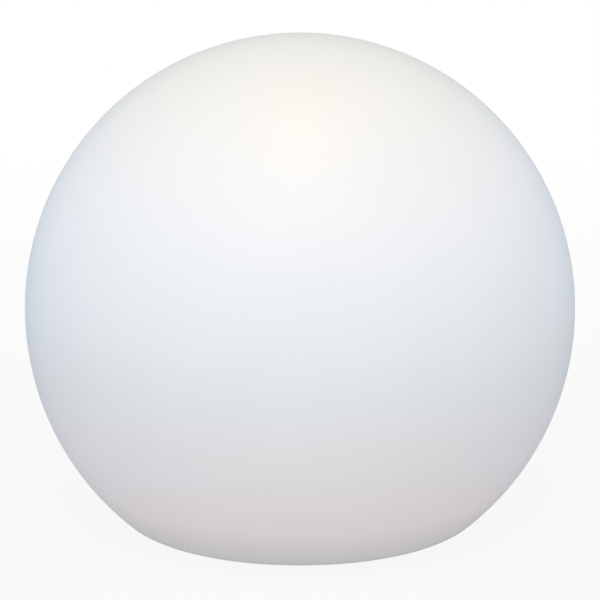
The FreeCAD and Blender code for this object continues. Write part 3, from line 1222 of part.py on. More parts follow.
def diffuser_dome():
    """Opal inner dome over the emitters, with a screwed flange."""
    dome = body("diffuser_dome")
    sketch = dome.newObject("Sketcher::SketchObject", "wall_outline")
    attach(sketch, dome, "XZ_Plane")
    middle = FreeCAD.Vector(0, number("dome_centre"), 0)

    def cap(sphere, foot_radius, foot_height):
        crown = middle + FreeCAD.Vector(0, sphere, 0)
        foot = FreeCAD.Vector(foot_radius, foot_height, 0)
        between = middle + ((crown - middle) + (foot - middle)).normalize() * sphere
        return sketch.addGeometry(Part.Arc(crown, between, foot), False), crown, foot

    outer, crown_out, foot_out = cap(number("dome_sphere"), number("dome_radius"), number("flange_top"))
    inner, crown_in, foot_in = cap(number("dome_sphere - dome_wall"), number("dome_mouth"),
                                   number("flange_under"))
    rim = [("flange_radius", "flange_top"), ("flange_radius", "flange_under")]
    spots = [FreeCAD.Vector(number(a), number(b), 0) for a, b in rim]
    chain = [foot_out, *spots, foot_in]
    lines = [sketch.addGeometry(Part.LineSegment(a, b), False) for a, b in zip(chain, chain[1:])]
    closing = sketch.addGeometry(Part.LineSegment(crown_in, crown_out), False)

    for first, second, point in ((outer, lines[0], foot_out), (lines[0], lines[1], spots[0]),
                                 (lines[1], lines[2], spots[1]), (lines[2], inner, foot_in),
                                 (inner, closing, crown_in), (closing, outer, crown_out)):
        sketch.addConstraint(Sketcher.Constraint(
            "Coincident", first, end_at(sketch, first, point), second, end_at(sketch, second, point)))
    pin_point(sketch, outer, 3, "0", "dome_centre")
    sketch.addConstraint(Sketcher.Constraint("Coincident", outer, 3, inner, 3))
    pin_point(sketch, lines[0], 1, "dome_radius", "flange_top")
    pin_point(sketch, lines[1], 1, *rim[0])
    pin_point(sketch, lines[2], 1, *rim[1])
    pin_point(sketch, inner, end_at(sketch, inner, foot_in), "dome_mouth", "flange_under")
    sketch.addConstraint(Sketcher.Constraint("PointOnObject", closing, 1, -2))
    sketch.addConstraint(Sketcher.Constraint("PointOnObject", closing, 2, -2))
    spin(dome, "wall", sketch)
    hole = disc(dome, "screw_hole", "small_thread / 2 + thread_gap", "flange_under", "flange_top",
                **at_angle("dome_screw_place", "dome_screw_angle"), cut=True)
    around(dome, hole, "dome_screw_count")


def dome_gasket():
    """Gasket under the dome's flange."""
    gasket = body("dome_gasket")
    ring(gasket, "sheet", "dome_mouth", "flange_radius", "housing_top", "flange_under")
    hole = disc(gasket, "hole", "small_thread / 2 + thread_gap", "housing_top", "flange_under",
                **at_angle("dome_screw_place", "dome_screw_angle"), cut=True)
    around(gasket, hole, "dome_screw_count")


def dome_screws():
    """Screws of the dome's flange."""
    screws = body("dome_screws")
    pan_head_screws(screws, "small", "flange_top", "housing_top - screw_bite + thread_gap",
                    x="dome_screw_place", count="dome_screw_count", turn_over=True)
    swing(screws, "dome_screw_angle")


def lead_grommet():
    """Rubber grommet where the leads go through the ceiling."""
    grommet = body("lead_grommet")
    bore, flange, waist = "grommet_bore / 2", "grommet_flange / 2", "grommet_diameter / 2"
    under = "ceiling_under - grommet_flange_height"
    turned(grommet, "grommet", [
        (bore, under), (flange, under), (flange, "ceiling_under"), (waist, "ceiling_under"),
        (waist, "housing_top"), (bore, "housing_top")])
    shift(grommet, x="lead_place")


def lead_pair(node, start, corner, end):
    """Two round leads side by side: straight runs from start to end, joined by one arc round the corner."""
    bend, radius = number("lead_bend"), number("lead_diameter") / 2
    leads = []
    for side in (-1, 1):
        shift = FreeCAD.Vector(0, side * number("lead_pitch") / 2, 0)
        first, turn, last = (FreeCAD.Vector(across, 0, up) + shift for across, up in (start, corner, end))
        back, ahead = (first - turn).normalize(), (last - turn).normalize()
        arc_start, arc_end = turn + back * bend, turn + ahead * bend
        middle = turn + (back + ahead) * bend
        arc_middle = middle - (back + ahead).normalize() * bend
        path = Part.Wire([Part.LineSegment(first, arc_start).toShape(),
                          Part.Arc(arc_start, arc_middle, arc_end).toShape(),
                          Part.LineSegment(arc_end, last).toShape()])
        mouth = Part.Wire([Part.Circle(first, -back, radius).toShape()])
        leads.append(path.makePipeShell([mouth], True, False))
    made = doc.addObject("Part::Feature", node)
    made.Shape = Part.makeCompound(leads)
    made_parts.append(made)


def light_leads():
    """Leads from the board's header up through the ceiling and over to the light board's terminal."""
    up = number("light_board_top + terminal_height / 2")
    side = number("lead_place")
    lead_pair("light_leads", (side, number("header_top")), (side, up), (number("terminal_end"), up))


def cell_leads():
    """Leads from the cells' strip down to their header."""
    side = -number("lead_place")
    strip = -number("cell_length / 2 + strip_thickness")
    lead_pair("cell_leads", (strip, number("cell_middle")), (side, number("cell_middle")),
              (side, number("header_top")))


# ---------------------------------------------------------------- build, check and write
globe_shell()
foot_pads()
threaded_inserts()
ring_gasket()
bayonet_ring()
ring_screws()
module_housing()
module_seal()
base_cover()
cover_gasket()
cover_screws()
power_button()
button_seal()
switch_plunger()
push_switch()
charge_door()
door_seal()
hinge_pin()
charge_socket()
socket_contact()
socket_gasket()
control_board()
board_screws()
control_chips()
choke_coil()
smoothing_capacitors()
lead_headers()
charge_lamp()
indicator_lens()
vent_plug()
vent_nut()
vent_membrane()
battery_cells()
cell_holders()
nickel_strips()
battery_clamp()
clamp_screws()
heat_spreader()
heat_pad()
light_board()
light_board_screws()
emitter_ring("outer_emitters", "outer_emitter_circle", "outer_emitter_count")
emitter_ring("inner_emitters", "inner_emitter_circle", "inner_emitter_count")
remote_receiver()
board_terminal()
diffuser_dome()
dome_gasket()
dome_screws()
lead_grommet()
light_leads()
cell_leads()
doc.recompute()

broken = [item.Label for item in doc.Objects if "Invalid" in item.State or "Error" in item.State]
for item in made_parts:
    shape = item.Shape
    if shape.isNull() or not shape.isValid() or not shape.Solids:
        broken.append(item.Label)
if broken:
    raise RuntimeError(f"these did not build: {broken}")

os.makedirs(PARTS_FOLDER, exist_ok=True)
for item in made_parts:
    item.Shape.exportStep(os.path.join(PARTS_FOLDER, item.Label + ".step"))
    box = item.Shape.BoundBox
    print(f"{item.Label:22s} solids {len(item.Shape.Solids):2d}  volume {item.Shape.Volume:10.1f} mm3"
          f"  z {box.ZMin:7.2f} to {box.ZMax:7.2f}  r {max(abs(box.XMin), box.XMax):6.2f}")
for name in ("button_place", "lead_place", "hinge_place", "hinge_height", "port_place", "foot_place",
             "globe_centre", "flank_radius"):
    print(name, round(number(name), 3))
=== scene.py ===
# %% [markdown]
# # A garden globe light, dressed in Blender
# The real object is a seamless polyethylene globe with a flattened base. A light module goes up into its
# underside and makes the wall glow. Its pieces with true sizes come packed as a fixed frame, and every new
# piece here is made in the same metres, so it goes where the frame says.

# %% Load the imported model
import json
import math

import bpy
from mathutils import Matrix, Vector


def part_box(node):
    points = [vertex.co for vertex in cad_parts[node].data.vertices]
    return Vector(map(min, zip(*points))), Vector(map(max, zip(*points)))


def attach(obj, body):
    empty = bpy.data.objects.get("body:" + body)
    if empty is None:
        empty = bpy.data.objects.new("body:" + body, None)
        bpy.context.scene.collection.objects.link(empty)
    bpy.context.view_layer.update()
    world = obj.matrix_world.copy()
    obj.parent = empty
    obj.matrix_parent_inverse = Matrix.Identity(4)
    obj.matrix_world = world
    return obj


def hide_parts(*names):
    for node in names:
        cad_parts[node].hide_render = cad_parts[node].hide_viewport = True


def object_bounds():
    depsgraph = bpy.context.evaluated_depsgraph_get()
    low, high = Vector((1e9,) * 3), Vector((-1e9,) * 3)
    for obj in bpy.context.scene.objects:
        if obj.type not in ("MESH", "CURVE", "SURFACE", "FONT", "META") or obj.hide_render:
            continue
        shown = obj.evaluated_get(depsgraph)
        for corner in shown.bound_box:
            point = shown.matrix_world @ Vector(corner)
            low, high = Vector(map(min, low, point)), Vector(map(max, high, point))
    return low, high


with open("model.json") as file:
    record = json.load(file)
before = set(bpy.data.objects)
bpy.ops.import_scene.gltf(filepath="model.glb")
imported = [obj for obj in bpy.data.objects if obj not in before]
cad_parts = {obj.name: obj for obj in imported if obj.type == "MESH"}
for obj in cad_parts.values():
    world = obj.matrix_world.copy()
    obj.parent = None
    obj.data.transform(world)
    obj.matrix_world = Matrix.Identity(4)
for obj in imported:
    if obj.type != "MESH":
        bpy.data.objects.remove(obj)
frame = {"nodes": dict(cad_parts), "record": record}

nodes = frame["nodes"]
packed_low, packed_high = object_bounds()
print("packed model:", len(nodes), "nodes,", [round(v, 4) for v in packed_high - packed_low], "m")

# %% [markdown]
# ## Reading the frame
# The globe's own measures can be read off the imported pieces. A sphere's middle lies one radius under its
# crown, and the base flat is the shell's lowest face. Reading them keeps this script right when the source
# changes.

# %% Measure the globe
MM = 0.001
shell_low, shell_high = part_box("globe_shell")
globe_radius = (shell_high.x - shell_low.x) / 2
globe_middle = shell_high.z - globe_radius
base_flat = shell_low.z
print("globe radius", round(globe_radius, 4), "middle", round(globe_middle, 4),
      "base flat", round(base_flat, 4))

# %% [markdown]
# ## The camera
# The photograph looks down a little, from far enough away that the globe hardly narrows. Its outline was
# fitted: the base corners give a view from 12.5 degrees above, and the globe is 548 pixels across. The
# camera aims a little above the globe's middle, because the globe sits low in the picture.

# %% Set up the camera
VIEW_DOWN, CAMERA_DISTANCE, SENSOR_WIDTH = 12.5, 2.4, 36.0
PIXELS_PER_METRE, PIXELS, AIM_PIXELS = 1371.0, 600, 7.6
AIM_ABOVE = AIM_PIXELS / PIXELS_PER_METRE

camera_data = bpy.data.cameras.new("camera")
camera = bpy.data.objects.new("camera", camera_data)
bpy.context.scene.collection.objects.link(camera)
bpy.context.scene.camera = camera
down = math.radians(VIEW_DOWN)
forward = Vector((0, math.cos(down), -math.sin(down)))
upward = Vector((0, math.sin(down), math.cos(down)))
middle = Vector((0, 0, globe_middle))
camera.location = middle + upward * AIM_ABOVE - forward * CAMERA_DISTANCE
camera.rotation_euler = forward.to_track_quat("-Z", "Y").to_euler()
camera_data.sensor_width = SENSOR_WIDTH
camera_data.lens = PIXELS_PER_METRE * CAMERA_DISTANCE * SENSOR_WIDTH / PIXELS
print("lens", round(camera_data.lens, 1), "mm, camera at", [round(v, 3) for v in camera.location])

# %% [markdown]
# ## Sums between sockets
# A material here is a small calculation on the place of each point: where it is bright, where it is dull,
# how high its grain stands. Blender writes such sums as Math nodes. One class that wraps a socket and
# answers to + - * / lets the sums be read as sums, and adds those nodes by itself.


# %% A socket that can be added and multiplied
class Socket:
    """One output of a node, which answers to the signs of arithmetic."""

    def __init__(self, nodes, output):
        self.nodes = nodes
        self.output = output

    def __add__(self, other):
        return self.nodes.sum("ADD", self, other)

    def __radd__(self, other):
        return self.nodes.sum("ADD", other, self)

    def __sub__(self, other):
        return self.nodes.sum("SUBTRACT", self, other)

    def __rsub__(self, other):
        return self.nodes.sum("SUBTRACT", other, self)

    def __mul__(self, other):
        return self.nodes.sum("MULTIPLY", self, other)

    def __rmul__(self, other):
        return self.nodes.sum("MULTIPLY", other, self)

    def __truediv__(self, other):
        return self.nodes.sum("DIVIDE", self, other)

    def __rtruediv__(self, other):
        return self.nodes.sum("DIVIDE", other, self)


print("sockets answer to + - * /")

# %% [markdown]
# ## One method for every node
# All other nodes come from one method. It takes the node's type, its settings, which are set first because
# they can change its sockets, and what goes into each socket: a number, a colour or a link. A ramp's stops
# are settings too, and a smooth curve joins them, so no stop shows as a line. Two kinds are used so often
# that they have short names: a sum and a blend of colours. The Mix node has sockets for numbers, vectors
# and colours under the same names, so the blend takes its colours by their place in the list.


# %% A node tree that is written in Python
class Nodes:
    """Adds nodes to one tree. A socket is named with _ for each space, or number_3 for the fourth."""

    def __init__(self, tree):
        self.tree = tree

    def node(self, kind, settings=None, output=0, **sockets):
        made = self.tree.nodes.new(kind)
        for name, value in (settings or {}).items():
            if name == "stops":
                self.set_stops(made.color_ramp, value)
            else:
                setattr(made, name, value)
        for name, value in sockets.items():
            self.feed(self.find(made.inputs, name), value)
        return Socket(self, self.find(made.outputs, output))

    def find(self, sockets, key):
        if isinstance(key, int):
            return sockets[key]
        if key.startswith("number_"):
            return sockets[int(key.removeprefix("number_"))]
        return sockets[key.replace("_", " ")]

    def feed(self, entry, value):
        if isinstance(value, Socket):
            self.tree.links.new(value.output, entry)
        elif isinstance(value, tuple) and len(value) < len(entry.default_value):
            entry.default_value = (*value, 1.0)
        else:
            entry.default_value = value

    def set_stops(self, ramp, stops):
        ramp.interpolation = "CARDINAL"
        while len(ramp.elements) < len(stops):
            ramp.elements.new(1.0)
        for element, (position, colour) in zip(ramp.elements, stops):
            element.position = position
            element.color = (*colour, 1.0)

    def sum(self, operation, first, second=0.0):
        return self.node("ShaderNodeMath", {"operation": operation}, number_0=first, number_1=second)

    def blend(self, amount, first, second):
        """A colour that goes from first to second as amount goes from 0 to 1."""
        return self.node("ShaderNodeMix", {"data_type": "RGBA"}, output=2, number_0=amount, number_6=first,
                         number_7=second)


print("nodes can be added by their type")


# %% [markdown]
# ## A finish
# Every surface wears one Principled shader. A finish adds the few patterns that the finishes share: soft
# noise for uneven colour, small cells for grain, and a bump. The patterns read the object's own coordinates
# in metres, so they have their true size on every piece.


# %% A material under construction
class Finish(Nodes):
    """A material with a Principled shader, and the patterns that feed it."""

    def __init__(self, name, **constants):
        self.material = bpy.data.materials.new(name)
        self.material.use_nodes = True
        super().__init__(self.material.node_tree)
        self.shader = self.tree.nodes["Principled BSDF"]
        self.place = self.node("ShaderNodeTexCoord", output="Object")
        self.shade(**constants)

    def noise(self, size, detail=2.0, place=None):
        """Noise from 0 to 1 whose blobs are about size metres across."""
        return self.node("ShaderNodeTexNoise", Vector=place or self.place, Scale=1.0 / size, Detail=detail)

    def cells(self, size, settings=None, output=0):
        """Cells about size metres across: the distance to their middles, or another output."""
        return self.node("ShaderNodeTexVoronoi", settings, output, Vector=self.place, Scale=1.0 / size)

    def stretched(self, x=1.0, y=1.0, z=1.0):
        """The place with each axis scaled, for patterns that run along one of them."""
        return self.node("ShaderNodeMapping", Vector=self.place, Scale=(x, y, z))

    def part(self, axis):
        """One coordinate of the place: 0, 1 or 2 for X, Y or Z."""
        return self.node("ShaderNodeSeparateXYZ", output=axis, Vector=self.place)

    def bump(self, height, depth):
        """A bump of depth metres where height goes from 0 to 1."""
        return self.node("ShaderNodeBump", Height=height, Distance=depth, Strength=1.0)

    def shade(self, **sockets):
        for name, value in sockets.items():
            self.feed(self.find(self.shader.inputs, name), value)
        return self.material


print("a finish can be written")

# %% [markdown]
# ## Lit polyethylene
# The globe is white polyethylene, moulded in a turning mould with no seam. It is waxy rather than glossy,
# and its wall lets light through. A real glow could be traced from the emitters inside, but that is slow
# and grainy. The wall's own emission gives the same look, because the wall is what the eye sees shining.
# The module throws its light up, so the glow is dim at the foot and strong at the shoulder and the crown.
# The ramp also holds painted light and shade. It is darkest at the foot, partly from the dim glow and partly
# as painted shade where the ground shades the wall. It is rosy just above the foot as painted warm light
# bounced from the floor, cool round the waist and the shoulder as painted cool sky light, and warm at the
# crown. One colour for each of these five zones makes a ramp on height, alike all the way round, and a
# little noise keeps its bands from looking ruled.

# %% The globe's finish
GLOW_STRENGTH = 0.42
FOOT, LOW_FLANK, WAIST, SHOULDER, CROWN = 0.0, 0.1, 0.4, 0.7, 1.0
# Besides the glow, these stops hold painted shade at the foot, painted warm floor bounce on the low flank and
# painted cool sky light round the waist and the shoulder.
GLOW_AND_SHADE_STOPS = [
    (FOOT, (0.40, 0.35, 0.30)),
    (LOW_FLANK, (0.75, 0.60, 0.60)),
    (WAIST, (0.70, 0.75, 0.80)),
    (SHOULDER, (0.85, 0.90, 1.00)),
    (CROWN, (0.95, 0.90, 0.80)),
]


def lit_polyethylene(name, stops, low, high, strength):
    """White translucent plastic with a waxy skin, which shines by itself more or less with height."""
    finish = Finish(name, Emission_Strength=strength, Specular_IOR_Level=0.22,
                    Coat_Weight=1.0, Coat_Roughness=0.5, Coat_IOR=1.015, Coat_Tint=(0.935, 0.943, 0.95))
    height = (finish.part(2) - low) / (high - low)
    cloud = finish.noise(60 * MM, detail=3.0)
    skin = finish.noise(2.2 * MM, detail=1.0)
    grain = finish.noise(0.35 * MM, detail=0.0)
    # For the globe this ramp is the glow together with painted shade and painted bounce and sky light.
    glow = finish.node("ShaderNodeValToRGB", {"stops": stops}, Fac=height + (cloud - 0.5) * 0.02)
    return finish.shade(
        Base_Color=finish.blend(cloud, (0.705, 0.705, 0.708), (0.735, 0.735, 0.732)),
        Roughness=0.46 + cloud * 0.06 + grain * 0.04,
        Emission_Color=glow,
        Normal=finish.bump(skin * 0.8 + grain * 0.2, 0.03 * MM))


globe_finish = lit_polyethylene("lit polyethylene", GLOW_AND_SHADE_STOPS, base_flat, shell_high.z, GLOW_STRENGTH)
print("made", globe_finish.name)

# %% [markdown]
# ## Moulded plastic
# The module's case, ring, cover and door are injection moulded. The mould's face is etched, so the plastic
# comes out with a fine matt grain. Colour and dullness drift a little over a large piece. Fine noise as
# bump gives the grain, and coarse noise the drift.


# %% Moulded plastics
def moulded(name, colour, grain=0.7 * MM, depth=0.03 * MM, dull=0.50, drift=0.05):
    """Etched plastic: grain is the size of its texture and depth how deep that is."""
    finish = Finish(name)
    cloud, pits = finish.noise(20 * MM, detail=3.0), finish.noise(grain, detail=2.0)
    dark = tuple(value * (1 - drift) for value in colour)
    light = tuple(value * (1 + drift) for value in colour)
    return finish.shade(
        Base_Color=finish.blend(cloud * 0.6 + pits * 0.4, dark, light),
        Roughness=dull - 0.06 + cloud * 0.06 + pits * 0.08,
        Normal=finish.bump(pits, depth))


plastics = {
    "ring_plastic": moulded("grey ring plastic", (0.56, 0.56, 0.55)),
    "case_plastic": moulded("off-white case plastic", (0.70, 0.70, 0.68)),
    "cover_plastic": moulded("grey cover plastic", (0.50, 0.50, 0.495), grain=0.9 * MM, depth=0.05 * MM),
    "door_plastic": moulded("dark door plastic", (0.105, 0.11, 0.118), grain=0.8 * MM, depth=0.05 * MM),
    "black_plastic": moulded("black plastic", (0.022, 0.022, 0.023), dull=0.42),
    "chip_black": moulded("chip resin", (0.018, 0.018, 0.02), grain=0.25 * MM, dull=0.60),
    "header_white": moulded("header nylon", (0.68, 0.66, 0.60), dull=0.45),
    "vent_plastic": moulded("black vent plastic", (0.035, 0.035, 0.038), dull=0.48),
    "holder_black": moulded("cell holder plastic", (0.03, 0.03, 0.032), dull=0.52),
    "clamp_plastic": moulded("grey clamp plastic", (0.42, 0.42, 0.41), dull=0.55),
}
print("made", len(plastics), "plastics")

# %% [markdown]
# ## Rubber
# Pads and seals are moulded rubber. It is duller than plastic, has a faint dusty bloom, and a pebbled skin
# where the mould was blasted. Small cells make the pebbles, and noise the bloom.


# %% Rubbers
def rubber(name, colour, bloom, pebble=0.6 * MM, depth=0.05 * MM, dull=0.78):
    """Moulded rubber with a dusty bloom of a second colour."""
    finish = Finish(name, Specular_IOR_Level=0.35)
    dust, pebbles = finish.noise(6 * MM, detail=4.0), finish.cells(pebble)
    return finish.shade(
        Base_Color=finish.blend(dust * 0.7 + pebbles * 0.3, colour, bloom),
        Roughness=dull - 0.05 + dust * 0.12,
        Normal=finish.bump(pebbles, depth))


rubbers = {
    "pad_rubber": rubber("grey pad rubber", (0.060, 0.060, 0.063), (0.105, 0.105, 0.105)),
    "seal_rubber": rubber("black seal rubber", (0.012, 0.012, 0.013), (0.030, 0.030, 0.030),
                          depth=0.02 * MM),
    "button_rubber": rubber("soft-touch button", (0.080, 0.084, 0.090), (0.110, 0.113, 0.118),
                            pebble=0.4 * MM, depth=0.02 * MM, dull=0.66),
    "pad_grey": rubber("soft heat pad", (0.150, 0.165, 0.200), (0.200, 0.215, 0.245), pebble=0.9 * MM),
}
print("made", len(rubbers), "rubbers")

# %% [markdown]
# ## Metals
# Screws are plain stainless steel, the inserts brass and the strips nickel. Each has fine drawn or turned
# marks that run one way. Noise that is drawn out along an axis makes such marks, and they show in the
# roughness and in a very shallow bump.


# %% Metals
def worked_metal(name, colour, dull=0.30, fine=0.25 * MM, along=(1.0, 1.0, 0.04), depth=0.006 * MM):
    """Bare metal whose tool marks run along the axes with a small scale."""
    finish = Finish(name, Metallic=1.0)
    marks = finish.noise(fine, detail=2.0, place=finish.stretched(*along))
    haze = finish.noise(5 * MM, detail=3.0)
    dark = tuple(value * 0.86 for value in colour)
    return finish.shade(
        Base_Color=finish.blend(marks * 0.5 + haze * 0.5, dark, colour),
        Roughness=dull - 0.06 + marks * 0.10 + haze * 0.06,
        Normal=finish.bump(marks, depth))


metals = {
    "stainless": worked_metal("stainless steel", (0.62, 0.62, 0.61), along=(1.0, 0.15, 1.0)),
    "brass": worked_metal("turned brass", (0.78, 0.57, 0.26), along=(0.1, 0.1, 1.0), dull=0.34),
    "nickel": worked_metal("nickel strip", (0.66, 0.63, 0.56), along=(1.0, 0.05, 1.0)),
    "contact_metal": worked_metal("plated contact", (0.74, 0.73, 0.70), dull=0.22),
    "can_aluminium": worked_metal("drawn aluminium can", (0.80, 0.81, 0.82), dull=0.26),
    "spreader_metal": worked_metal("milled aluminium", (0.76, 0.77, 0.79), along=(0.05, 1.0, 1.0),
                                   dull=0.36, fine=0.4 * MM, depth=0.012 * MM),
}
print("made", len(metals), "metals")

# %% [markdown]
# ## Circuit boards
# A board is glass and resin under a coloured solder mask. Copper tracks stand under the mask as slightly
# lighter lines, and tinned dots show where parts are soldered. Where distance is measured by the largest
# of the steps along the axes, the borders between cells run straight or at 45 degrees, as tracks do. A
# border is where the nearest and the second cell are equally far. The middles of smaller cells make the
# dots.

# %% Boards
PATCH_CELL = 5.5 * MM
TRACK_CELL, TRACK_SHARE = 4.2 * MM, 0.10
DOT_CELL, DOT_SHARE = 3.4 * MM, 0.12


def circuit_board(name, mask, track, tin, roughness):
    """Solder mask over copper tracks, with tinned dots."""
    finish = Finish(name, Coat_Roughness=0.2)
    patches = finish.cells(PATCH_CELL, {"distance": "CHEBYCHEV"}, output="Color")
    nearest = finish.cells(TRACK_CELL, {"distance": "CHEBYCHEV"})
    second = finish.cells(TRACK_CELL, {"distance": "CHEBYCHEV", "feature": "F2"})
    on_track = finish.sum("LESS_THAN", second - nearest, TRACK_SHARE)
    on_dot = finish.sum("LESS_THAN", finish.cells(DOT_CELL), DOT_SHARE)
    weave = finish.noise(0.5 * MM, detail=1.0)
    patch = finish.node("ShaderNodeSeparateColor", Color=patches)
    plain = finish.blend(patch * 0.25 + weave * 0.2, mask, track)
    tracked = finish.blend(on_track * 0.7, plain, track)
    return finish.shade(
        Base_Color=finish.blend(on_dot, tracked, tin),
        Metallic=on_dot,
        Roughness=roughness + weave * 0.08 - on_dot * 0.1,
        Coat_Weight=(1 - on_dot) * 0.3,
        Normal=finish.bump(on_track + on_dot, 0.03 * MM))


boards = {
    "board_green": circuit_board("green circuit board", (0.010, 0.095, 0.035), (0.022, 0.160, 0.060),
                                 (0.62, 0.62, 0.60), 0.34),
    "board_white": circuit_board("white light board", (0.80, 0.80, 0.785), (0.70, 0.70, 0.685),
                                 (0.62, 0.62, 0.60), 0.30),
}
print("made", len(boards), "boards")

# %% [markdown]
# ## The copper coil
# The choke is wound with varnished copper wire. Its turns lie side by side, so the winding is a stack of
# half-round ridges. A wave along Z gives one ridge for each turn, as bump and as darker lines between
# them, which are painted shade in the grooves. Blender's wave runs through 20 radians for each metre at a
# scale of 1.

# %% Winding
WIRE, WAVE_RADIANS = 0.7 * MM, 20.0


def winding(name):
    """Varnished wire, one ridge of bump for each turn."""
    finish = Finish(name, Metallic=0.85, Coat_Roughness=0.15)
    turns = finish.node("ShaderNodeTexWave", {"bands_direction": "Z"}, output="Fac", Vector=finish.place,
                        Scale=math.tau / WAVE_RADIANS / WIRE, Distortion=0.4)
    return finish.shade(
        # The darker colour where the wave is low is painted shade in the grooves between turns.
        Base_Color=finish.blend(turns, (0.16, 0.05, 0.02), (0.56, 0.24, 0.10)),
        Roughness=0.30 + (1 - turns) * 0.15,
        Coat_Weight=turns * 0.6,
        Normal=finish.bump(turns, 0.12 * MM))


coil_finish = winding("varnished winding")
print("made", coil_finish.name)

# %% [markdown]
# ## Sleeves and leads
# Each cell wears a shrunk film sleeve, glossy and a little wrinkled, with a pale ring of card at its ends.
# The leads go in pairs, one red and one black, and as they lie side by side, a step on Y tells which is
# which.


# %% Sleeve and leads
def shrink_sleeve(name, colour, card, card_from):
    """Film shrunk on a cell, pale beyond card_from on both ends."""
    finish = Finish(name, Coat_Roughness=0.12)
    outward = finish.sum("ABSOLUTE", finish.part(0))
    at_end = finish.sum("GREATER_THAN", outward, card_from)
    wrinkle = finish.noise(3 * MM, detail=3.0, place=finish.stretched(0.3, 1.0, 1.0))
    tone = finish.blend(wrinkle, tuple(value * 0.85 for value in colour), colour)
    return finish.shade(
        Base_Color=finish.blend(at_end, tone, card),
        Roughness=0.24 + wrinkle * 0.12 + at_end * 0.3,
        Coat_Weight=(1 - at_end) * 0.5,
        Normal=finish.bump(wrinkle, 0.08 * MM))


def paired_leads(name, left, right):
    """Two colours of lead insulation, either side of the middle plane."""
    finish = Finish(name)
    side = finish.sum("GREATER_THAN", finish.part(1), 0.0)
    skin = finish.noise(0.8 * MM, detail=2.0)
    return finish.shade(
        Base_Color=finish.blend(side, left, right),
        Roughness=0.38 + skin * 0.14,
        Normal=finish.bump(skin, 0.02 * MM))


CARD_WIDTH = 1.6 * MM
_, cell_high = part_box("battery_cells")
sleeve_finish = shrink_sleeve("blue shrink sleeve", (0.03, 0.12, 0.36), (0.62, 0.60, 0.54),
                              cell_high.x - CARD_WIDTH)
lead_finish = paired_leads("red and black leads", (0.40, 0.020, 0.015), (0.018, 0.018, 0.019))
print("made", sleeve_finish.name, "and", lead_finish.name)

# %% [markdown]
# ## What is clear or shines
# The light pipe and the charge lamp are clear resin. The emitters are phosphor under resin, and they are
# on. The inner dome is opal like the globe, and closer to the light, so it shines more.


# %% Clear resin, emitters, dome, receiver, film
def clear_resin(name, tint, dull=0.08, glow=(0.0, 0.0, 0.0), strength=0.0):
    """Clear resin with fine swirls, lit from behind where strength is more than 0."""
    finish = Finish(name, Transmission_Weight=0.85, IOR=1.49, Emission_Strength=strength,
                    Emission_Color=glow)
    swirl = finish.noise(1.5 * MM, detail=2.0)
    return finish.shade(
        Base_Color=finish.blend(swirl, tint, (1.0, 1.0, 1.0)),
        Roughness=dull + swirl * 0.05,
        Normal=finish.bump(swirl, 0.01 * MM))


def phosphor(name, strength):
    """Yellow phosphor that is on, mottled by its grains."""
    finish = Finish(name, Emission_Strength=strength, Coat_Weight=0.5)
    grains = finish.noise(0.3 * MM, detail=2.0)
    return finish.shade(
        Base_Color=finish.blend(grains, (0.86, 0.62, 0.14), (0.95, 0.80, 0.30)),
        Emission_Color=finish.blend(grains, (1.0, 0.84, 0.60), (1.0, 0.92, 0.74)),
        Roughness=0.25 + grains * 0.1)


dome_low, dome_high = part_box("diffuser_dome")
lights = {
    "light_pipe": clear_resin("clear light pipe", (0.90, 0.93, 0.92)),
    "lamp_clear": clear_resin("green charge lamp", (0.55, 0.95, 0.55), glow=(0.1, 1.0, 0.2), strength=0.6),
    "emitter": phosphor("lit phosphor", 2.0),
    "dome_opal": lit_polyethylene("lit opal dome", [(0.0, (0.75, 0.70, 0.62)), (1.0, (1.0, 0.96, 0.90))],
                                  dome_low.z, dome_high.z, 0.8),
    "receiver_dark": moulded("dark infrared window", (0.020, 0.008, 0.012), grain=0.2 * MM, depth=0.0,
                             dull=0.14),
    "film_white": rubber("breathing film", (0.70, 0.70, 0.68), (0.82, 0.82, 0.80), pebble=0.15 * MM,
                         dull=0.85),
}
print("made", len(lights), "clear and lit finishes")

# %% [markdown]
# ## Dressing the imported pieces
# The record says which finish each node takes. Its slots are the keys here, so one table dresses all nodes,
# and a slot with no finish would stop the script.

# %% Assign the finishes
FINISHES = {"opal_globe": globe_finish, "coil_copper": coil_finish, "cell_sleeve": sleeve_finish,
            "lead_sleeve": lead_finish, **plastics, **rubbers, **metals, **boards, **lights}


def wear(piece, finish):
    """Gives a piece one material."""
    piece.data.materials.clear()
    piece.data.materials.append(finish)


for row in frame["record"]["subparts"]:
    node = nodes[row["node"]]
    for index in range(len(node.material_slots)):
        node.material_slots[index].material = FINISHES[row["material_slot"]]

# %% [markdown]
# ## Spinning an outline
# A round piece is half a section spun about its axis, as a potter throws a bowl. A plane is merged into one
# point, the point is extruded along the outline, and Spin carries the line all the way round. Points on the
# axis meet in a pole, so doubles are merged, and then the faces are turned outwards.


# %% Helpers for spun pieces
def only(thing):
    """Makes one object the selected and active one."""
    bpy.ops.object.select_all(action="DESELECT")
    thing.select_set(True)
    bpy.context.view_layer.objects.active = thing


def start_line(name, points):
    """A new mesh, left in edit mode, that is a line through points."""
    bpy.ops.object.select_all(action="DESELECT")
    bpy.ops.mesh.primitive_plane_add(size=MM, location=(0, 0, 0))
    piece = bpy.context.object
    piece.name = piece.data.name = name
    bpy.ops.object.mode_set(mode="EDIT")
    bpy.ops.mesh.merge(type="CENTER")
    bpy.ops.transform.translate(value=points[0])
    for here, there in zip(points, points[1:]):
        step = Vector(there) - Vector(here)
        bpy.ops.mesh.extrude_vertices_move(TRANSFORM_OT_translate={"value": step})
    bpy.ops.mesh.select_all(action="SELECT")
    return piece


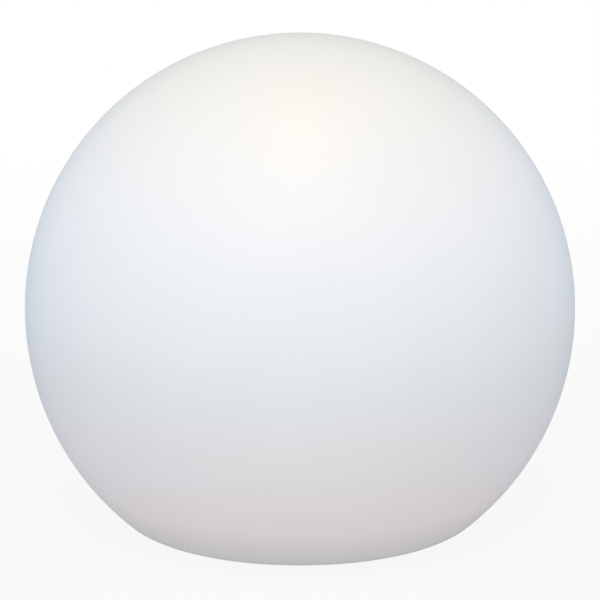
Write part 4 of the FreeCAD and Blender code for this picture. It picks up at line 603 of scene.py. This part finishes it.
def tidy_piece(piece, smooth=32.0):
    """Merges doubles, turns the faces outwards, and shades edges flatter than smooth degrees as round."""
    bpy.ops.mesh.select_all(action="SELECT")
    bpy.ops.mesh.remove_doubles(threshold=0.001 * MM)
    bpy.ops.mesh.normals_make_consistent(inside=False)
    bpy.ops.object.mode_set(mode="OBJECT")
    only(piece)
    bpy.ops.object.shade_smooth_by_angle(angle=math.radians(smooth))
    return piece


def spun(name, outline, x=0.0, y=0.0, steps=48):
    """A piece spun about an upright axis at x, y from (radius, height) points in millimetres."""
    piece = start_line(name, [(radius * MM, 0, height * MM) for radius, height in outline])
    bpy.ops.mesh.spin(steps=steps, angle=math.tau, center=(0, 0, 0), axis=(0, 0, 1))
    bpy.ops.mesh.select_all(action="SELECT")
    bpy.ops.transform.translate(value=(x, y, 0))
    return tidy_piece(piece)


print("spinning helper ready")

# %% [markdown]
# ## Foot pads
# Each pad is a rubber disc with rounded edges, and grooves in its sole keep it from sliding on a wet slab.
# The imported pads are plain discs. Their outline is spun again with three raised lands, which leave a hollow
# in the middle and two grooves, and its rim is rounded.

# %% The first grooved pad
pad_low, pad_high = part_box("foot_pads")
PAD_RADIUS, PAD_ROLL, GROOVE_DEPTH, GROOVE_SLOPE = 7.5, 0.3, 0.5, 0.3
LANDS = [(1.4, 2.5), (3.5, 4.6), (5.6, 6.8)]
RIM = [(7.25, 0.12), (7.45, 0.4), (PAD_RADIUS, 0.8)]
pad_place = pad_high.x - PAD_RADIUS * MM
sole, pad_top = pad_low.z / MM, pad_high.z / MM
sole_outline = [(0, sole + GROOVE_DEPTH)]
for inner, outer in LANDS:
    sole_outline += [(inner - GROOVE_SLOPE, sole + GROOVE_DEPTH), (inner, sole), (outer, sole),
                     (outer + GROOVE_SLOPE, sole + GROOVE_DEPTH)]
sole_outline.pop()
sole_outline += [(radius, sole + height) for radius, height in RIM]
sole_outline += [(PAD_RADIUS, pad_top - PAD_ROLL), (PAD_RADIUS - PAD_ROLL, pad_top), (0, pad_top)]
first_pad = spun("foot_pad_1", sole_outline, pad_place, pad_place, steps=64)
print("pad outline has", len(sole_outline), "points")

# %% [markdown]
# ## Copies
# What repeats is modelled once and copied. A linked copy would share its mesh, but each piece keeps its
# place in a mesh of its own, so the copy gets its own and is moved or turned in edit mode. Without a window
# Blender's rotate turns the other way round, which the minus sign makes up for.


# %% Four pads
def copied(piece, name, dx=0.0, turn=0.0, about=(0.0, 0.0)):
    """A copy with its own mesh, moved along X, or turned by degrees about an upright axis."""
    only(piece)
    bpy.ops.object.duplicate(linked=False)
    copy = bpy.context.object
    copy.name = copy.data.name = name
    bpy.ops.object.mode_set(mode="EDIT")
    bpy.ops.mesh.select_all(action="SELECT")
    if turn:
        bpy.ops.transform.rotate(value=-math.radians(turn), orient_axis="Z",
                                 center_override=(*about, 0.0))
    bpy.ops.transform.translate(value=(dx, 0, 0))
    bpy.ops.object.mode_set(mode="OBJECT")
    return copy


PADS = 4
pads = [first_pad] + [copied(first_pad, f"foot_pad_{number + 1}", turn=360 / PADS * number)
                      for number in range(1, PADS)]
for pad in pads:
    wear(pad, FINISHES["pad_rubber"])
    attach(pad, "globe")
    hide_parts("foot_pads")
print("pads", [pad.name for pad in pads], "replace the plain discs")

# %% [markdown]
# ## The mould's witness ring
# Where the base flat turns into its rolled corner, the mould's base plate leaves a fine raised line. It is
# out of sight in use, and is the only mark on the moulding. A small rounded outline is spun round the
# base. Its heights are given from the face it stands on, and below zero is out of the face.

# %% Witness ring
LINE_RADIUS = 100.0
LINE_PROFILE = [(-0.4, 0.05), (-0.25, -0.16), (0.0, -0.22), (0.25, -0.16), (0.4, 0.05), (-0.4, 0.05)]


def from_face(face, profile, radius=0.0):
    """An outline from (outwards, height) points, measured from a radius and a face."""
    return [(radius + outwards, face + height) for outwards, height in profile]


witness = spun("mould_line", from_face(base_flat / MM, LINE_PROFILE, LINE_RADIUS), steps=160)
wear(witness, globe_finish)
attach(witness, "globe")
print("witness ring has", len(witness.data.polygons), "faces")

# %% [markdown]
# ## Ribs on the grip bar
# Fingers go into the dish and turn the module by the bar across it. Nine low ribs give them a hold. One rib
# is a cube that is squeezed flat in edit mode and bevelled all round, and its copies are set along the bar.


# %% Nine ribs
def bevelled_bar(name, size, place, roll, segments=3):
    """A bar with rounded edges; size and place in millimetres."""
    bpy.ops.object.select_all(action="DESELECT")
    bpy.ops.mesh.primitive_cube_add(size=MM, location=(0, 0, 0))
    piece = bpy.context.object
    piece.name = piece.data.name = name
    bpy.ops.object.mode_set(mode="EDIT")
    bpy.ops.transform.resize(value=size)
    bpy.ops.mesh.bevel(offset=roll * MM, segments=segments, affect="EDGES")
    bpy.ops.mesh.select_all(action="SELECT")
    bpy.ops.transform.translate(value=Vector(place) * MM)
    return tidy_piece(piece, smooth=40.0)


cover_low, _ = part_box("base_cover")
cover_face = cover_low.z / MM
RIBS, RIB_PITCH, RIB_SIZE, RIB_ROLL, RIB_SINK = 9, 4.2, (1.6, 6.4, 1.0), 0.4, 0.05
first_rib_place = (-RIB_PITCH * (RIBS - 1) / 2, 0, cover_face + RIB_SINK)
first_rib = bevelled_bar("grip_rib_1", RIB_SIZE, first_rib_place, RIB_ROLL)
ribs = [first_rib] + [copied(first_rib, f"grip_rib_{number + 1}", dx=RIB_PITCH * number * MM)
                      for number in range(1, RIBS)]
for rib in ribs:
    wear(rib, FINISHES["cover_plastic"])
    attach(rib, "light_module")
print(len(ribs), "ribs on the bar")

# %% [markdown]
# ## Turn marks
# Plain marks tell how to take the module out. A raised triangle on the cover points at a solid dot on the
# ring while it is locked, and at an open circle once it is turned by 30 degrees. Curved arrows on the
# cover show which way. Each mark is an inlay of the door's dark plastic that stands proud, so it can be
# read and felt. A flat mark is a line through its corners, filled, pulled out and bevelled.


# %% The pointer
def raised(name, corners, face, proud, sink=0.1, roll=0.08):
    """A flat mark from (x, y) corners in millimetres, standing proud below face."""
    piece = start_line(name, [(x * MM, y * MM, (face + sink) * MM) for x, y in corners])
    bpy.ops.mesh.edge_face_add()
    bpy.ops.mesh.extrude_region_move(TRANSFORM_OT_translate={"value": (0, 0, -(proud + sink) * MM)})
    bpy.ops.mesh.bevel(offset=roll * MM, segments=2, affect="EDGES")
    return tidy_piece(piece, smooth=40.0)


def on_ring(radius, degrees, aside=0.0):
    """A point at radius and degrees round the axis, then moved aside at a right angle to the radius."""
    angle = math.radians(degrees)
    outward = Vector((math.cos(angle), math.sin(angle)))
    sideways = Vector((-math.sin(angle), math.cos(angle)))
    return tuple(outward * radius + sideways * aside)


MARK_PROUD = 0.4
POINTER_ANGLE, POINTER_TIP, POINTER_BACK, POINTER_HALF = 105.0, 55.6, 52.4, 2.0
pointer_corners = [on_ring(POINTER_TIP, POINTER_ANGLE), on_ring(POINTER_BACK, POINTER_ANGLE, POINTER_HALF),
                   on_ring(POINTER_BACK, POINTER_ANGLE, -POINTER_HALF)]
pointer = raised("lock_pointer", pointer_corners, cover_face, MARK_PROUD)
wear(pointer, FINISHES["door_plastic"])
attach(pointer, "light_module")
print("pointer has", len(pointer.data.polygons), "faces")

# %% [markdown]
# ## Locked and open
# The dot is solid and the circle hollow, so that a thumb tells them apart. Both are on the ring, which
# stays in the globe when the module turns, and they lie as far apart as the module turns. They are round,
# so they are spun.

# %% Locked dot and open circle
TURN, MARK_RADIUS = 30.0, 66.5
DOT_PROFILE = [(0, -0.4), (1.3, -0.4), (1.5, -0.25), (1.5, 0.1), (0, 0.1)]
CIRCLE_PROFILE = [(1.2, 0.1), (1.2, -0.3), (1.35, -0.4), (1.65, -0.4), (1.8, -0.3), (1.8, 0.1), (1.2, 0.1)]
ring_low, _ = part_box("bayonet_ring")
ring_face = ring_low.z / MM
dot_x, dot_y = on_ring(MARK_RADIUS, POINTER_ANGLE)
locked_dot = spun("locked_dot", from_face(ring_face, DOT_PROFILE), dot_x * MM, dot_y * MM, steps=32)
open_x, open_y = on_ring(MARK_RADIUS, POINTER_ANGLE - TURN)
open_circle = spun("open_circle", from_face(ring_face, CIRCLE_PROFILE), open_x * MM, open_y * MM, steps=32)
for mark in (locked_dot, open_circle):
    wear(mark, FINISHES["door_plastic"])
    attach(mark, "globe")
print("dot and circle", TURN, "degrees apart")

# %% [markdown]
# ## Turn arrows
# A curved arrow could be a straight one that is bent, but its outline is easily worked out: it goes along
# the outer side, round the head and back along the inner side. It is then raised like the pointer, and the
# second arrow is a turned copy.

# %% Two curved arrows
ARROW_RADIUS, ARROW_TAIL, ARROW_NECK, ARROW_TIP = 37.0, 238.0, 207.0, 200.0
ARROW_STEPS, SHAFT_HALF, HEAD_HALF, ARROWS_APART = 14, 0.5, 1.9, 102.0
arc_steps = [ARROW_TAIL + (ARROW_NECK - ARROW_TAIL) * step / ARROW_STEPS for step in range(ARROW_STEPS + 1)]
arrow_corners = [on_ring(ARROW_RADIUS + SHAFT_HALF, angle) for angle in arc_steps]
arrow_corners += [on_ring(ARROW_RADIUS + HEAD_HALF, ARROW_NECK), on_ring(ARROW_RADIUS, ARROW_TIP),
                  on_ring(ARROW_RADIUS - HEAD_HALF, ARROW_NECK)]
arrow_corners += [on_ring(ARROW_RADIUS - SHAFT_HALF, angle) for angle in reversed(arc_steps)]
first_arrow = raised("turn_arrow_1", arrow_corners, cover_face, MARK_PROUD)
arrows = [first_arrow, copied(first_arrow, "turn_arrow_2", turn=ARROWS_APART)]
for arrow in arrows:
    wear(arrow, FINISHES["door_plastic"])
    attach(arrow, "light_module")
print(len(arrows), "arrows")

# %% [markdown]
# ## Sign on the button
# The push button carries the usual standby sign, an open ring with a bar in its gap. It is an inlay of the
# pale case plastic, moulded in the same tool as its dark ground, and is raised like the turn marks.

# %% Standby sign
button_low, button_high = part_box("power_button")
button_face = button_low.z / MM
button_y = (button_low.y + button_high.y) / 2 / MM
SIGN_PROUD, SIGN_OUTER, SIGN_INNER, SIGN_GAP, SIGN_STEPS = 0.25, 3.3, 2.7, 32.0, 24
sign_steps = [90 + SIGN_GAP + (360 - 2 * SIGN_GAP) * step / SIGN_STEPS for step in range(SIGN_STEPS + 1)]
ring_corners = [on_ring(SIGN_OUTER, angle) for angle in sign_steps]
ring_corners += [on_ring(SIGN_INNER, angle) for angle in reversed(sign_steps)]
BAR_HALF, BAR_FROM, BAR_TO = 0.3, 1.0, 3.9
bar_corners = [(-BAR_HALF, BAR_FROM), (BAR_HALF, BAR_FROM), (BAR_HALF, BAR_TO), (-BAR_HALF, BAR_TO)]
for name, corners in (("standby_ring", ring_corners), ("standby_bar", bar_corners)):
    sign = raised(name, [(x, y + button_y) for x, y in corners], button_face, SIGN_PROUD)
    wear(sign, FINISHES["case_plastic"])
    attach(sign, "button")
print("standby sign at y", round(button_y, 2), "mm")

# %% [markdown]
# ## Sign on the door
# The charging door has the usual bolt, of the same pale inlay. The outline looks the same when it is
# turned half round, so its six corners are given from its middle.

# %% Bolt on the charging door
door_low, door_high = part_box("charge_door")
door_face = door_low.z / MM
door_y = (door_low.y + door_high.y) / 2 / MM
bolt_corners = [(0.8, 2.9), (-1.7, -0.4), (-0.25, -0.4), (-0.8, -2.9), (1.7, 0.4), (0.25, 0.4)]
bolt = raised("charge_bolt", [(x, y + door_y) for x, y in bolt_corners], door_face, SIGN_PROUD)
wear(bolt, FINISHES["case_plastic"])
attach(bolt, "door")
print("bolt on the door at y", round(door_y, 2), "mm")

# %% [markdown]
# ## Bezel
# A low collar frames the light pipe, so that the charge lamp's light is found at a glance. It is round,
# and is spun from a small outline like the marks on the ring.

# %% Bezel round the light pipe
BEZEL_PROFILE = [(1.62, 0.1), (1.62, -0.1), (1.85, -0.3), (2.3, -0.3), (2.6, -0.1), (2.6, 0.1), (1.62, 0.1)]
pipe_low, pipe_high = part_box("indicator_lens")
pipe_x, pipe_y = (pipe_low.x + pipe_high.x) / 2, (pipe_low.y + pipe_high.y) / 2
bezel = spun("pipe_bezel", from_face(cover_face, BEZEL_PROFILE), pipe_x, pipe_y, steps=40)
wear(bezel, FINISHES["cover_plastic"])
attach(bezel, "light_module")
print("bezel at", round(pipe_x / MM, 1), round(pipe_y / MM, 1))

# %% [markdown]
# ## Breather plug
# The breather lets the module's air swell and shrink without drawing water in. Eight short ribs on its
# head let it be tightened by hand. One bar is copied round the plug's own axis.

# %% Ribs on the breather plug
FINS, FIN_RADIUS, FIN_SIZE, FIN_ROLL, FIN_SINK = 8, 3.7, (2.2, 0.9, 0.9), 0.25, 0.1
vent_low, vent_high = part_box("vent_plug")
vent_x, vent_y = (vent_low.x + vent_high.x) / 2, (vent_low.y + vent_high.y) / 2
first_fin_place = (vent_x / MM + FIN_RADIUS, vent_y / MM, vent_low.z / MM + FIN_SINK)
first_fin = bevelled_bar("vent_fin_1", FIN_SIZE, first_fin_place, FIN_ROLL)
fins = [first_fin] + [copied(first_fin, f"vent_fin_{number + 1}", turn=360 / FINS * number,
                             about=(vent_x, vent_y)) for number in range(1, FINS)]
for fin in fins:
    wear(fin, FINISHES["vent_plastic"])
    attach(fin, "light_module")
print(len(fins), "fins round the breather at", round(vent_x / MM, 1), round(vent_y / MM, 1))

# %% [markdown]
# ## Floor
# The photograph's ground is plain white. The floor is a wide pale sheet that takes the lamp's shadow. For
# the camera, and for mirrors and glass, part of its white is plain brightness, so that it reads as paper,
# and the share grows with distance until nothing but white is left. The globe's own surfaces gather their
# soft light past it, so the base isn't darkened by it. From below it is clear, so that the underside can
# be looked at.

# %% Floor
FLOOR_SIZE = 9.0
PAPER_NEAR, NEAR_REACH, FAR_REACH = 0.86, 0.35, 1.6
bpy.ops.object.select_all(action="DESELECT")
bpy.ops.mesh.primitive_plane_add(size=FLOOR_SIZE, location=(0, 0, packed_low.z))
floor = bpy.context.object
floor.name = "floor"
floor.visible_diffuse = False
paper = Finish("paper", Base_Color=(0.86, 0.86, 0.86), Roughness=0.9, Specular_IOR_Level=0.1)


def seen_directly(tree):
    """1 where the camera, a mirror or glass looks at the surface, and 0 where it only gives light."""
    rays = [tree.node("ShaderNodeLightPath", output=name)
            for name in ("Is Camera Ray", "Is Glossy Ray", "Is Transmission Ray")]
    return tree.sum("MAXIMUM", tree.sum("MAXIMUM", rays[0], rays[1]), rays[2])


reach = paper.node("ShaderNodeVectorMath", {"operation": "LENGTH"}, output="Value", Vector=paper.place)
far_off = paper.node("ShaderNodeMapRange", Value=reach, From_Min=NEAR_REACH, From_Max=FAR_REACH,
                     To_Min=PAPER_NEAR, To_Max=1.0)
white = paper.node("ShaderNodeEmission", Color=(1.0, 1.0, 1.0), Strength=1.0)
paper_mix = paper.node("ShaderNodeMixShader", Fac=seen_directly(paper) * far_off,
                       number_1=Socket(paper, paper.shader.outputs[0]), number_2=white)
below = paper.node("ShaderNodeNewGeometry", output="Backfacing")
clear = paper.node("ShaderNodeBsdfTransparent")
seen_mix = paper.node("ShaderNodeMixShader", Fac=below, number_1=paper_mix, number_2=clear)
paper.feed(paper.tree.nodes["Material Output"].inputs["Surface"], seen_mix)
wear(floor, paper.material)
print("floor", FLOOR_SIZE, "m wide at z", round(packed_low.z, 4))

# %% [markdown]
# ## Light
# The world is white to look at and a faintly cool grey as light, which fills the shade from all round. One
# large, warm lamp stands high in front and makes the bright brow of the globe. A second, much weaker and
# cool, stands low on the left and keeps that flank from falling off as much as the right one. A third is
# small, warmer still and nearly overhead. It only shows in reflections, and the waxy skin spreads it into
# the soft warm spot under the crown.

# %% World and lamps
AMBIENT, KEY, FILL, GLINT = 0.55, 0.26, 0.045, 0.62
SKY = (0.97, 1.0, 1.03)
world = bpy.data.worlds.new("studio")
world.use_nodes = True
bpy.context.scene.world = world
studio = Nodes(world.node_tree)
seen = seen_directly(studio)
background = world.node_tree.nodes["Background"]
studio.feed(background.inputs["Color"], studio.blend(seen, SKY, (1.0, 1.0, 1.0)))
studio.feed(background.inputs["Strength"], AMBIENT + seen * (1 - AMBIENT))


def softbox(name, share, size, distance, elevation, azimuth=0.0, colour=(1.0, 1.0, 1.0)):
    """A square lamp aimed at the globe. It gives white card that faces it a share of full brightness."""
    up, about = math.radians(elevation), math.radians(azimuth)
    direction = Vector((math.sin(about) * math.cos(up), -math.cos(about) * math.cos(up), math.sin(up)))
    bpy.ops.object.light_add(type="AREA", location=middle + direction * distance)
    lamp = bpy.context.object
    lamp.name = name
    lamp.rotation_euler = (-direction).to_track_quat("-Z", "Y").to_euler()
    lamp.data.size = size
    lamp.data.color = colour
    lamp.data.energy = share * math.pi ** 2 * distance ** 2
    return lamp


softbox("key_lamp", KEY, size=1.6, distance=3.2, elevation=52.0, colour=(1.2, 1.0, 0.75))
softbox("fill_lamp", FILL, size=2.0, distance=3.4, elevation=14.0, azimuth=-50.0, colour=(0.75, 1.0, 1.3))
glint = softbox("glint_lamp", GLINT, size=0.6, distance=3.2, elevation=80.0, colour=(1.0, 0.56, 0.07))
glint.visible_diffuse = False
print("ambient", AMBIENT, "key", KEY, "fill", FILL, "glint", GLINT)

# %% [markdown]
# ## The view
# The dressed model has to stay in the imported model's box. The colours are shown as they are written, with
# the Standard view.

# %% Colour view
bpy.context.scene.view_settings.view_transform = "Standard"
